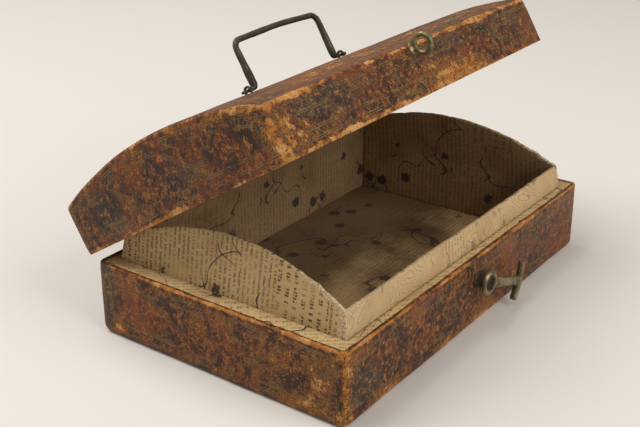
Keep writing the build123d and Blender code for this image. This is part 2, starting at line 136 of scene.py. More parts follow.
def wave(point: Vector, scale: float, seed: float = 0.0) -> float:
    """Give soft noise from about -1 to 1 with features 1 / scale metres wide."""
    return noise.noise(point * scale + Vector((seed, 2 * seed, -seed)))


def arch_rise(across: float) -> float:
    """Give how far the arched top stands above the lid's sides at a place across it."""
    inside = max(0.0, ARCH_RADIUS**2 - across**2)
    return math.sqrt(inside) - (ARCH_RADIUS - LID_RISE)


def add_piece(
    name: str, shape: bmesh.types.BMesh, finish: bpy.types.Material, body: Body
) -> bpy.types.Object:
    """Make a mesh object of a shape, dress it and let it ride on a body.

    Args:
        name: The piece's name.
        shape: The shape, which is freed.
        finish: Its material.
        body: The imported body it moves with.

    Returns:
        The new object, at the origin.
    """
    mesh = bpy.data.meshes.new(name)
    shape.to_mesh(mesh)
    shape.free()
    mesh.shade_smooth()
    mesh.materials.append(finish)
    piece = bpy.data.objects.new(name, mesh)
    bpy.context.scene.collection.objects.link(piece)
    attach(piece, body.value)
    LOG.info("%s: %d faces on %s", name, len(mesh.polygons), body.value)
    return piece


def cut_grid(shape: bmesh.types.BMesh, axis: Vector, reach: float, pitch: float) -> None:
    """Cut a whole shape along evenly spaced planes square to an axis.

    Args:
        shape: The shape that is cut.
        axis: The planes' normal, of length 1.
        reach: Half the span that is divided.
        pitch: About how far apart the planes are.
    """
    count = max(1, round(2 * reach / pitch))
    for step in range(1, count):
        spot = axis * (-reach + 2 * reach * step / count)
        geometry = [*shape.verts, *shape.edges, *shape.faces]
        bmesh.ops.bisect_plane(shape, geom=geometry, dist=1e-6, plane_co=spot, plane_no=axis)


def cut_levels(shape: bmesh.types.BMesh, low: float, height: float, count: int) -> None:
    """Cut a whole shape into count layers between low and low + height.

    Args:
        shape: The shape that is cut.
        low: The lowest layer's underside.
        height: The height of all layers together.
        count: How many layers there are.
    """
    for step in range(1, count):
        spot = Vector((0, 0, low + height * step / count))
        geometry = [*shape.verts, *shape.edges, *shape.faces]
        bmesh.ops.bisect_plane(shape, geom=geometry, dist=1e-6, plane_co=spot, plane_no=(0, 0, 1))


def inward(point: Vector, past_x: float, past_y: float) -> Vector:
    """Give the way to the middle from a point that is further out than past_x or past_y."""
    return Vector((-point.x if abs(point.x) > past_x else 0, -point.y if abs(point.y) > past_y else 0, 0))


def absorb(shape: bmesh.types.BMesh, *others: bmesh.types.BMesh) -> None:
    """Add other shapes to a shape and free them.

    Args:
        shape: The shape that takes them.
        others: The shapes that are added and freed.
    """
    merged = bpy.data.meshes.new("merged")
    for other in others:
        other.to_mesh(merged)
        other.free()
        shape.from_mesh(merged)
    bpy.data.meshes.remove(merged)


def turn_outline(
    shape: bmesh.types.BMesh, base: Vector, outline: Sequence[tuple[float, float]], steps: int
) -> None:
    """Add a turned piece that stands out of the front.

    Args:
        shape: The shape that it is added to, whose faces are then all turned outward.
        base: The middle of its foot.
        outline: Radius and distance out of the front, in millimetres, from the axis back to it.
        steps: Faces round it.
    """
    verts = [shape.verts.new(base + Vector((radius * MM, -out * MM, 0))) for radius, out in outline]
    edges = [shape.edges.new(pair) for pair in zip(verts, verts[1:])]
    bmesh.ops.spin(
        shape, geom=[*verts, *edges], cent=base, axis=(0, -1, 0), dvec=(0, 0, 0),
        angle=2 * math.pi, steps=steps, use_merge=True, use_normal_flip=False, use_duplicate=False,
    )
    bmesh.ops.remove_doubles(shape, verts=shape.verts, dist=1e-6)
    bmesh.ops.recalc_face_normals(shape, faces=shape.faces)


def round_edges(
    shape: bmesh.types.BMesh, edges: Iterable[bmesh.types.BMEdge], offset: float, segments: int
) -> None:
    """Round chosen edges of a shape."""
    bmesh.ops.bevel(
        shape, geom=list(edges), offset=offset, offset_type="OFFSET", segments=segments,
        profile=0.5, affect="EDGES", material=-1, clamp_overlap=True,
    )


def level_edges(shape: bmesh.types.BMesh, height: float) -> list[bmesh.types.BMEdge]:
    """List the border edges of the flat face at a height.

    Args:
        shape: The shape that is searched.
        height: The face's height.

    Returns:
        Its border edges.
    """
    return [
        edge for edge in shape.edges
        if all(abs(vert.co.z - height) < 1e-6 for vert in edge.verts)
        and any(abs(face.normal.z) < 0.5 for face in edge.link_faces)
    ]


def tube(stations: Sequence[Station], up: Vector, sides: int, closed: bool) -> bmesh.types.BMesh:
    """Make a bar or wire through stations by joining rings.

    Args:
        stations: For each ring its centre, direction, half width across and half width along up.
        up: A direction that no station runs along.
        sides: Points in each ring.
        closed: Whether the last ring joins the first.

    Returns:
        The shape, closed at its ends or onto itself.
    """
    shape = bmesh.new()
    rings: list[list[bmesh.types.BMEdge]] = []
    for centre, direction, wide, high in stations:
        ahead = direction.normalized()
        side = up.cross(ahead).normalized()
        above = ahead.cross(side)
        frame = Matrix((side * wide, above * high, ahead)).transposed().to_4x4()
        frame.translation = centre
        made = bmesh.ops.create_circle(shape, cap_ends=False, radius=1.0, segments=sides, matrix=frame)
        rings.append(list({edge for vert in made["verts"] for edge in vert.link_edges}))
    pairs = list(zip(rings, rings[1:])) + ([(rings[-1], rings[0])] if closed else [])
    for first, second in pairs:
        bmesh.ops.bridge_loops(shape, edges=first + second)
    if not closed:
        for ring in (rings[0], rings[-1]):
            bmesh.ops.edgeloop_fill(shape, edges=ring)
    bmesh.ops.recalc_face_normals(shape, faces=shape.faces)
    return shape


def rounded_route(points: Sequence[Vector], bends: Sequence[float], pitch: float) -> list[Vector]:
    """Follow straight runs joined by bends.

    Args:
        points: The corners of the route, with its ends.
        bends: A radius for each inner corner.
        pitch: The usual spacing of the points that come back.

    Returns:
        Points along the route.
    """
    route = [points[0]]
    for before, corner, after, radius in zip(points, points[1:], points[2:], bends):
        back = (before - corner).normalized()
        ahead = (after - corner).normalized()
        turn = math.pi - back.angle(ahead)
        trim = radius * math.tan(turn / 2)
        start, end = corner + back * trim, corner + ahead * trim
        run = (start - route[-1]).length
        for step in range(1, max(1, round(run / pitch))):
            route.append(route[-1].lerp(start, 1 / (max(1, round(run / pitch)) - step + 1)))
        centre = corner + (back + ahead).normalized() * radius / math.cos(turn / 2)
        for step in range(7):
            spoke = (start - centre).normalized().slerp((end - centre).normalized(), step / 6)
            route.append(centre + spoke * radius)
    run = (points[-1] - route[-1]).length
    count = max(1, round(run / pitch))
    last = route[-1]
    route.extend(last.lerp(points[-1], step / count) for step in range(1, count + 1))
    return route


def wire_stations(route: Sequence[Vector], radius: Callable[[float], float]) -> list[Station]:
    """Turn a route into tube stations whose radius depends on the share of the way along.

    Args:
        route: The points of the wire's middle line.
        radius: The wire's radius at each share of the way along.

    Returns:
        The tube stations.
    """
    stations = []
    count = len(route)
    for index, point in enumerate(route):
        before = route[index - 1] if index else point
        after = route[index + 1] if index + 1 < count else point
        size = radius(index / max(1, count - 1))
        stations.append((point, after - before, size, size))
    return stations


def ring_stations(
    centre: Vector, radius: float, steps: int, wire: Callable[[Vector], float]
) -> list[Station]:
    """Lay out an upright wire ring, seen edge on from the front.

    Args:
        centre: The ring's middle.
        radius: From its middle to the middle of the wire.
        steps: Stations round it.
        wire: The wire's radius in each direction from the middle.

    Returns:
        The tube stations, for a closed tube.
    """
    stations = []
    for step in range(steps):
        angle = 2 * math.pi * step / steps
        round_way = Vector((0, math.cos(angle), math.sin(angle)))
        ahead = Vector((0, -math.sin(angle), math.cos(angle)))
        size = wire(round_way)
        stations.append((centre + round_way * radius, ahead, size, size))
    return stations


# ---- Material graphs ----------------------------------------------------------------------------
class Graph:
    """The nodes of one material, with short calls for the usual steps."""

    def __init__(self, name: str) -> None:
        """Start a material with a shader and an output.

        Args:
            name: The material's name.
        """
        self.material = bpy.data.materials.new(name)
        self.material.use_nodes = True
        self.tree = self.material.node_tree
        self.tree.nodes.clear()
        self.shader = self.node("ShaderNodeBsdfPrincipled")
        output = self.node("ShaderNodeOutputMaterial")
        self.tree.links.new(self.shader.outputs["BSDF"], output.inputs["Surface"])
        self.place = self.node("ShaderNodeTexCoord").outputs["Object"]

    def node(self, kind: str, **settings: object) -> bpy.types.Node:
        """Add a node and set its properties."""
        made = self.tree.nodes.new(kind)
        for key, value in settings.items():
            setattr(made, key, value)
        return made

    def feed(self, target: Socket, value: Socket | float | Sequence[float]) -> None:
        """Link a socket, or set a value, on an input.

        Args:
            target: The input.
            value: The socket or value that goes to it.
        """
        if isinstance(value, bpy.types.NodeSocket):
            self.tree.links.new(value, target)
        elif isinstance(value, (int, float)):
            target.default_value = value
        else:
            target.default_value = (*value, 1.0) if len(target.default_value) == 4 else tuple(value)

    def calc(self, operation: str, *values: Level, clamp: bool = False) -> Socket:
        """Do a sum on one to three values."""
        made = self.node("ShaderNodeMath", operation=operation, use_clamp=clamp)
        for target, value in zip(made.inputs, values):
            self.feed(target, value)
        return made.outputs[0]

    def plus(self, *values: Level) -> Socket:
        """Add several values."""
        total = values[0]
        for value in values[1:]:
            total = self.calc("ADD", total, value)
        return total

    def times(self, first: Level, second: Level) -> Socket:
        """Multiply two values."""
        return self.calc("MULTIPLY", first, second)

    def ramp(self, value: Socket, low: float, high: float, start: float = 0.0, end: float = 1.0) -> Socket:
        """Ease from start to end as a value goes from low to high."""
        made = self.node("ShaderNodeMapRange", interpolation_type="SMOOTHSTEP")
        for target, number in zip(made.inputs, (value, low, high, start, end)):
            self.feed(target, number)
        return made.outputs[0]

    def sway(self, level: Socket, amount: float) -> Socket:
        """Centre a noise level on 0 and scale it."""
        return self.times(self.calc("SUBTRACT", level, 0.5), amount)

    def noise(
        self, where: Socket, scale: float, detail: float = 4.0, rough: float = 0.55, twist: float = 0.0
    ) -> Socket:
        """Give a noise level around 0.5.

        Args:
            where: The place it is read at.
            scale: How many features there are per unit of place.
            detail: How many finer layers are added.
            rough: How strong the finer layers are.
            twist: How far it is distorted.

        Returns:
            The noise level.
        """
        made = self.node("ShaderNodeTexNoise")
        self.feed(made.inputs["Vector"], where)
        for key, number in (("Scale", scale), ("Detail", detail), ("Roughness", rough), ("Distortion", twist)):
            made.inputs[key].default_value = number
        return made.outputs["Fac"]

    def cells(self, where: Socket, scale: float, random: float = 1.0) -> bpy.types.Node:
        """Add scattered cells, with each one's distance and colour.

        Args:
            where: The place it is read at.
            scale: How many cells there are per unit of place.
            random: How irregular their places are.

        Returns:
            The cells' node.
        """
        made = self.node("ShaderNodeTexVoronoi")
        self.feed(made.inputs["Vector"], where)
        made.inputs["Scale"].default_value = scale
        made.inputs["Randomness"].default_value = random
        return made

    def chance(self, first: Level, second: Level) -> Socket:
        """Give a random level that is the same for the same two numbers.

        Args:
            first: The first number.
            second: The second number.

        Returns:
            The random level.
        """
        pair = self.node("ShaderNodeCombineXYZ")
        self.feed(pair.inputs[0], first)
        self.feed(pair.inputs[1], second)
        made = self.node("ShaderNodeTexWhiteNoise", noise_dimensions="2D")
        self.feed(made.inputs["Vector"], pair.outputs[0])
        return made.outputs["Value"]

    def mix(self, share: Level, first: Socket | Colour, second: Socket | Colour) -> Socket:
        """Blend two colours.

        Args:
            share: How much there is of the second colour.
            first: The first colour.
            second: The second colour.

        Returns:
            The blended colour.
        """
        made = self.node("ShaderNodeMix", data_type="RGBA")
        self.feed(made.inputs[0], share)
        self.feed(made.inputs[6], first)
        self.feed(made.inputs[7], second)
        return made.outputs[2]

    def axes(self, where: Socket) -> tuple[Socket, Socket, Socket]:
        """Split a place into its three numbers."""
        made = self.node("ShaderNodeSeparateXYZ")
        self.feed(made.inputs[0], where)
        return made.outputs[0], made.outputs[1], made.outputs[2]

    def turned(
        self, where: Socket, degrees: Sequence[float], scale: Sequence[float] = (1, 1, 1),
        shift: Sequence[float] = (0, 0, 0),
    ) -> Socket:
        """Turn, stretch and shift a place.

        Args:
            where: The place.
            degrees: How far it is turned about X, Y and Z.
            scale: How it is stretched along X, Y and Z.
            shift: How far it is moved.

        Returns:
            The new place.
        """
        made = self.node("ShaderNodeMapping")
        self.feed(made.inputs["Vector"], where)
        made.inputs["Rotation"].default_value = [math.radians(angle) for angle in degrees]
        made.inputs["Scale"].default_value = scale
        made.inputs["Location"].default_value = shift
        return made.outputs[0]

    def level(self, name: str) -> Socket:
        """Read a level painted on the mesh."""
        return self.node("ShaderNodeAttribute", attribute_name=name).outputs["Fac"]

    def unwrapped(self, name: str) -> Socket:
        """Read a piece's own flat coordinates, in metres."""
        return self.node("ShaderNodeUVMap", uv_map=name).outputs[0]

    def line(self, value: Socket, at: float, half: float) -> Socket:
        """Give 1 where a value is within half of at, fading to 0 just beyond."""
        return self.ramp(self.calc("ABSOLUTE", self.calc("SUBTRACT", value, at)), half, 1.7 * half, 1.0, 0.0)

    def relief(self, height: Socket, distance: float, strength: float) -> None:
        """Drive the shader's normal from a height.

        Args:
            height: The height level.
            distance: How deep a level of 1 is.
            strength: How strongly it shows.
        """
        made = self.node("ShaderNodeBump")
        made.inputs["Strength"].default_value = strength
        made.inputs["Distance"].default_value = distance
        self.feed(made.inputs["Height"], height)
        self.feed(self.shader.inputs["Normal"], made.outputs[0])


@dataclass(frozen=True)
class TooledLeather:
    """Old calf with blind-tooled lines and stamps, worn to tan where the wear-and-sheen level is high; on the
    lid's top that level also holds a painted sheen.
    """

    name: str
    red: Colour = (0.205, 0.052, 0.015)
    dark: Colour = (0.030, 0.0135, 0.009)
    slate: Colour = (0.052, 0.047, 0.031)
    tan: Colour = (0.42, 0.170, 0.034)
    pale: Colour = (0.60, 0.320, 0.115)
    # The lighter olive tone of the tooled lines: partly their own colour, partly a painted highlight on the
    # groove edges.
    tooled_tone_and_highlight: Colour = (0.235, 0.160, 0.052)
    lattice: float = 31 * MM
    rim: float = 3.0 * MM
    rub: float = 0.14
    coat: float = 0.03

    def tooling(self, graph: Graph) -> tuple[Socket, Socket]:
        """Lay out the tooled lines and stamps.

        Args:
            graph: The material's graph.

        Returns:
            How deep the tool went at each place, and where the fine ruled lines are.
        """
        flat = graph.unwrapped(HIDE_UV)
        along, up, _ = graph.axes(flat)
        bent = graph.times(graph.calc("SUBTRACT", graph.noise(flat, 48, 2.0), 0.5), 5 * MM)
        along, up = graph.plus(along, bent), graph.plus(up, bent)
        edge = graph.plus(graph.level("edge"), graph.times(bent, 0.5))
        ruled: Socket | float = 0.0
        for sum_kind in ("ADD", "SUBTRACT"):
            diagonal = graph.calc(sum_kind, along, graph.times(up, 1.35))
            away = graph.calc("PINGPONG", diagonal, self.lattice)
            wide, narrow = graph.line(away, 1.0 * MM, 0.28 * MM), graph.line(away, 2.6 * MM, 0.22 * MM)
            pair = graph.calc("MAXIMUM", wide, narrow)
            ruled = graph.calc("MAXIMUM", ruled, pair)
        inside = graph.ramp(edge, 11.5 * MM, 12.0 * MM)
        ruled = graph.times(ruled, inside)
        border: Socket | float = 0.0
        for place in (4.6, 5.9, 10.4, 11.5):
            border = graph.calc("MAXIMUM", border, graph.line(edge, place * MM, 0.26 * MM))
        beads = graph.calc("SINE", graph.times(graph.plus(along, up), 2 * math.pi / (3.4 * MM)))
        past_inner = graph.ramp(edge, 6.2 * MM, 6.8 * MM)
        band = graph.times(past_inner, graph.ramp(edge, 9.6 * MM, 10.1 * MM, 1.0, 0.0))
        roll = graph.times(graph.times(graph.ramp(beads, -0.1, 0.5), band), 0.6)
        swirl = graph.noise(flat, 125, 1.0, 0.4, 0.6)
        waves = graph.calc("ABSOLUTE", graph.calc("SINE", graph.times(swirl, 46)))
        curls = graph.ramp(waves, 0.0, 0.5, 1.0, 0.0)
        placed = graph.ramp(graph.noise(flat, 34, 2.0), 0.47, 0.55)
        stamps = graph.times(graph.times(curls, inside), placed)
        lines = graph.calc("MAXIMUM", ruled, border)
        depth = graph.calc("MAXIMUM", lines, graph.times(graph.calc("MAXIMUM", stamps, roll), 0.75))
        worn_away = graph.ramp(graph.noise(graph.place, 95, 5.0, 0.65), 0.44, 0.56, 0.08, 1.0)
        return graph.times(depth, worn_away), graph.times(lines, worn_away)

    def make(self) -> bpy.types.Material:
        """Make the material.

        Returns:
            The material.
        """
        graph = Graph(self.name)
        place = graph.place
        broad = graph.noise(place, 21, 4.0, 0.6)
        patchy = graph.noise(place, 80, 6.0, 0.7, 0.4)
        ragged = graph.noise(place, 270, 6.0, 0.74)
        fine = graph.noise(place, 800, 4.0, 0.7)
        depth, lines = self.tooling(graph)
        streaks = graph.noise(graph.turned(place, (20, 35, 28), (1.0, 6.0, 1.4)), 90, 7.0, 0.75, 0.6)
        chips = graph.plus(
            graph.sway(patchy, 1.2),
            graph.sway(ragged, 1.7),
            graph.sway(fine, 1.0),
            graph.sway(streaks, 0.8),
        )

        away = graph.plus(graph.level("edge"), graph.sway(broad, 5.0 * self.rim))
        rim = graph.ramp(away, 0.15 * self.rim, self.rim, 0.72, 0.0)
        spared = graph.times(graph.level("slate"), -0.3)
        # The wear-and-sheen level lightens the leather towards tan; on the lid's top part of it is painted
        # sheen.
        worn_and_sheen = graph.plus(graph.calc("MAXIMUM", graph.level("wear_and_sheen"), rim), self.rub, spared, chips)
        bare = graph.ramp(worn_and_sheen, 0.46, 0.62)
        rubbed = graph.ramp(worn_and_sheen, 0.12, 0.46)
        mottle = graph.plus(graph.times(broad, 0.3), graph.times(patchy, 0.35), graph.times(ragged, 0.35))
        body = graph.mix(graph.ramp(mottle, 0.44, 0.56), self.dark, self.red)
        greyed = graph.plus(graph.level("slate"), graph.times(chips, 0.9))
        body = graph.mix(graph.times(graph.ramp(greyed, 0.42, 0.72), 0.8), body, self.slate)
        body = graph.mix(graph.times(rubbed, 0.62), body, graph.mix(0.42, self.red, self.tan))
        flecks = graph.ramp(graph.plus(ragged, graph.times(streaks, 0.35), graph.times(fine, 0.3)), 0.86, 0.96)
        body = graph.mix(graph.times(flecks, 0.75), body, self.tan)
        pores = graph.times(graph.ramp(fine, 0.40, 0.50, 0.6, 0.0), graph.calc("SUBTRACT", 1.0, bare))
        body = graph.mix(pores, body, self.dark)
        # Tooled lines and stamps lightened towards olive: partly their own colour, partly a painted highlight
        # on the groove edges.
        body = graph.mix(graph.times(depth, graph.ramp(fine, 0.35, 0.6, 0.25, 0.95)), body, self.tooled_tone_and_highlight)
        ground = graph.mix(graph.ramp(patchy, 0.46, 0.66), self.tan, self.pale)
        ground = graph.mix(graph.ramp(streaks, 0.52, 0.62, 0.0, 0.7), ground, self.red)
        ground = graph.mix(graph.ramp(ragged, 0.36, 0.47, 0.75, 0.0), ground, self.red)
        ground = graph.mix(graph.times(lines, 0.6), ground, self.red)
        surface = graph.mix(bare, body, ground)
        grain = graph.ramp(graph.noise(place, 1500, 3.0, 0.6), 0.30, 0.5, 0.45, 0.0)
        surface = graph.mix(grain, surface, self.dark)
        graph.feed(graph.shader.inputs["Base Color"], surface)

        rough = graph.plus(graph.ramp(bare, 0.0, 1.0, 0.50, 0.76), graph.sway(ragged, 0.5))
        graph.feed(graph.shader.inputs["Roughness"], rough)
        graph.shader.inputs["Specular IOR Level"].default_value = 0.22
        graph.shader.inputs["Coat Weight"].default_value = self.coat
        graph.shader.inputs["Coat Roughness"].default_value = 0.35
        height = graph.plus(
            graph.times(depth, -0.9), graph.times(bare, -0.7), graph.times(ragged, 0.9), graph.times(fine, 0.6)
        )
        graph.relief(height, 0.4 * MM, 1.0)
        return graph.material


@dataclass(frozen=True)
class PrintedPaper:
    """Waste paper with rows of unreadable marks, block-printed stems and leaves, age stains and, on the floor
    card, painted shade towards the back.
    """

    name: str
    pattern: Pattern = Pattern.SHEET
    turn: float = 0.0
    shift: tuple[float, float, float] = (0.0, 0.0, 0.0)
    paper: Colour = (0.55, 0.395, 0.185)
    stain: Colour = (0.33, 0.20, 0.085)
    ink: Colour = (0.055, 0.034, 0.020)
    block: Colour = (0.030, 0.020, 0.028)
    pulp: Colour = (0.66, 0.53, 0.34)
    curl_ink: Colour = (0.16, 0.10, 0.075)
    painted_shade_ink: Colour = (0.055, 0.033, 0.014)
    row: float = 3.7 * MM
    letter: float = 1.05 * MM
    big_share: float = 0.12
    type_ink: float = 0.75
    stems: float = 1.0
    grain_lines: float = 0.0
    painted_shade: float = 0.0

    def rows(self, graph: Graph, flat: Socket, row: float, letter: float) -> Socket:
        """Set rows of small unreadable marks.

        Args:
            graph: The material's graph.
            flat: The sheet's coordinates, in metres.
            row: The spacing of the rows.
            letter: The spacing of the marks.

        Returns:
            Where there is ink.
        """
        along, up, _ = graph.axes(flat)
        line = graph.calc("DIVIDE", up, row)
        number = graph.calc("FLOOR", line)
        height = graph.calc("ABSOLUTE", graph.calc("SUBTRACT", graph.calc("FRACT", line), 0.5))
        tall = graph.ramp(height, 0.20, 0.29, 1.0, 0.0)
        place = graph.calc("DIVIDE", along, letter)
        cell = graph.calc("FLOOR", place)
        gap = graph.calc("GREATER_THAN", graph.chance(cell, number), 0.2)
        side = graph.calc("ABSOLUTE", graph.calc("SUBTRACT", graph.calc("FRACT", place), 0.5))
        wide = graph.ramp(side, 0.30, 0.42, 1.0, 0.0)
        strokes = graph.ramp(graph.noise(flat, 0.9 / letter, 2.0, 0.6), 0.42, 0.50)
        return graph.times(graph.times(tall, wide), graph.times(gap, strokes))

    def make(self) -> bpy.types.Material:
        """Make the material.

        Returns:
            The material.
        """
        graph = Graph(self.name)
        source = graph.unwrapped(SHEET_UV) if self.pattern is Pattern.SHEET else graph.place
        flat = graph.turned(source, (0, 0, self.turn), shift=self.shift)
        along, up, _ = graph.axes(flat)
        small = self.rows(graph, flat, self.row, self.letter)
        large = self.rows(graph, flat, 1.6 * self.row, 1.8 * self.letter)
        block_x = graph.calc("FLOOR", graph.calc("DIVIDE", along, 48 * MM))
        block_y = graph.calc("FLOOR", graph.calc("DIVIDE", up, 37 * MM))
        big = graph.calc("LESS_THAN", graph.chance(block_x, block_y), self.big_share)
        marks = graph.plus(graph.times(large, big), graph.times(small, graph.calc("SUBTRACT", 1.0, big)))
        fade = graph.ramp(graph.noise(source, 30, 4.0, 0.6), 0.33, 0.52, 0.25, 1.0)

        warp = graph.noise(source, 26, 1.0, 0.4)
        stem = graph.line(warp, 0.5, 0.0045)
        other_way = graph.noise(graph.turned(source, (0, 0, 40), shift=(0.3, 0.7, 0)), 31, 1.0, 0.4)
        second = graph.line(other_way, 0.46, 0.004)
        along_stem = graph.ramp(graph.noise(source, 22, 1.0), 0.51, 0.54)
        stems = graph.times(graph.calc("MAXIMUM", stem, second), along_stem)
        leaf_cells = graph.cells(source, 44)
        ragged = graph.noise(source, 420, 3.0, 0.6)
        size = graph.plus(leaf_cells.outputs["Distance"], graph.sway(ragged, 0.34))
        shown = graph.calc("GREATER_THAN", graph.axes(leaf_cells.outputs["Color"])[0], 0.12)
        leaves = graph.times(graph.ramp(size, 0.16, 0.205, 1.0, 0.0), shown)
        printed = graph.times(graph.calc("MAXIMUM", stems, leaves), self.stems)

        blotch = graph.noise(source, 18, 5.0, 0.6)
        fibre = graph.noise(source, 900, 3.0, 0.7)
        sheet = graph.mix(graph.ramp(blotch, 0.45, 0.68, 0.0, 0.6), self.paper, self.stain)
        sheet = graph.mix(graph.ramp(fibre, 0.3, 0.7, 0.0, 0.3), sheet, self.stain)
        # Painted shade: the sheet darkens towards the back of the box (+Y), where the open lid shades the floor
        # card.
        if self.painted_shade:
            across = graph.plus(graph.axes(graph.place)[1], graph.sway(blotch, 90 * MM))
            sheet = graph.mix(graph.ramp(across, -30 * MM, 18 * MM, 0.0, self.painted_shade), sheet, self.painted_shade_ink)
        if self.grain_lines:
            curl = graph.noise(source, 24, 2.0, 0.4, 0.8)
            bands = graph.calc("ABSOLUTE", graph.calc("SINE", graph.times(curl, 105)))
            grained = graph.ramp(bands, 0.0, 0.55, 1.0, 0.0)
            region = graph.ramp(graph.noise(source, 9, 1.0), 0.40, 0.44)
            shown = graph.times(graph.times(grained, region), self.grain_lines)
            sheet = graph.mix(shown, sheet, self.curl_ink)
            marks = graph.times(marks, graph.calc("SUBTRACT", 1.0, region))
        sheet = graph.mix(graph.times(graph.times(marks, fade), self.type_ink), sheet, self.ink)
        sheet = graph.mix(graph.times(printed, 0.9), sheet, self.block)
        torn = graph.ramp(graph.plus(graph.level("torn"), graph.sway(ragged, 1.6)), 0.5, 0.62)
        sheet = graph.mix(torn, sheet, graph.mix(graph.ramp(fibre, 0.35, 0.65), self.pulp, self.stain))
        graph.feed(graph.shader.inputs["Base Color"], sheet)
        graph.shader.inputs["Roughness"].default_value = 0.82
        graph.shader.inputs["Specular IOR Level"].default_value = 0.25
        crease = graph.noise(source, 120, 6.0, 0.7, 0.5)
        graph.relief(graph.plus(graph.times(crease, 1.0), graph.times(fibre, 0.25)), 0.5 * MM, 0.7)
        return graph.material


@dataclass(frozen=True)
class AgedMetal:
    """Hand-worked metal with tarnish or rust in patches."""

    name: str
    bright: Colour
    dull: Colour
    metallic: float
    roughness: float
    patches: float = 160.0

    def make(self) -> bpy.types.Material:
        """Make the material.

        Returns:
            The material.
        """
        graph = Graph(self.name)
        patch = graph.noise(graph.place, self.patches, 6.0, 0.68, 0.3)
        pits = graph.noise(graph.place, 1300, 3.0, 0.6)
        colour = graph.mix(graph.ramp(patch, 0.38, 0.62), self.bright, self.dull)
        graph.feed(graph.shader.inputs["Base Color"], colour)
        base_rough = graph.ramp(patch, 0.38, 0.62, self.roughness - 0.08, self.roughness + 0.14)
        rough = graph.plus(base_rough, graph.times(pits, 0.1))
        graph.feed(graph.shader.inputs["Roughness"], rough)
        graph.shader.inputs["Metallic"].default_value = self.metallic
        graph.relief(graph.plus(graph.times(patch, 1.0), graph.times(pits, 0.4)), 0.25 * MM, 0.55)
        return graph.material


@dataclass(frozen=True)
class BareWood:
    """Plain sawn softwood, with its grain along the box."""

    name: str
    early: Colour = (0.30, 0.165, 0.075)
    late: Colour = (0.15, 0.075, 0.032)

    def make(self) -> bpy.types.Material:
        """Make the material.

        Returns:
            The material.
        """
        graph = Graph(self.name)
        stretched = graph.turned(graph.place, (0, 0, 3), (0.08, 1.0, 1.0))
        rings = graph.noise(stretched, 190, 5.0, 0.6, 1.2)
        fibre = graph.noise(stretched, 1500, 3.0, 0.6)
        stain = graph.noise(graph.place, 25, 4.0)
        colour = graph.mix(graph.ramp(rings, 0.4, 0.62), self.early, self.late)
        colour = graph.mix(graph.ramp(fibre, 0.35, 0.65, 0.0, 0.35), colour, self.late)
        colour = graph.mix(graph.ramp(stain, 0.45, 0.7, 0.0, 0.5), colour, (0.06, 0.03, 0.015))
        graph.feed(graph.shader.inputs["Base Color"], colour)
        graph.shader.inputs["Roughness"].default_value = 0.78
        graph.relief(graph.plus(rings, graph.times(fibre, 0.5)), 0.3 * MM, 0.6)
        return graph.material


# ---- Leather ------------------------------------------------------------------------------------
@dataclass(frozen=True)
class Patch:
    """A place on the closed box where a level is raised, with a core and a soft rim."""

    centre: tuple[float, float, float]
    core: float
    rim: float
    amount: float
    stretch: tuple[float, float, float] = (1.0, 1.0, 1.0)

    def at(self, point: Vector) -> float:
        """Give the patch's level at a point, both in millimetres."""
        parts = zip(point, self.centre, self.stretch)
        away = Vector([(value - middle) / long for value, middle, long in parts])
        return self.amount * smooth(away.length, self.rim, self.core)


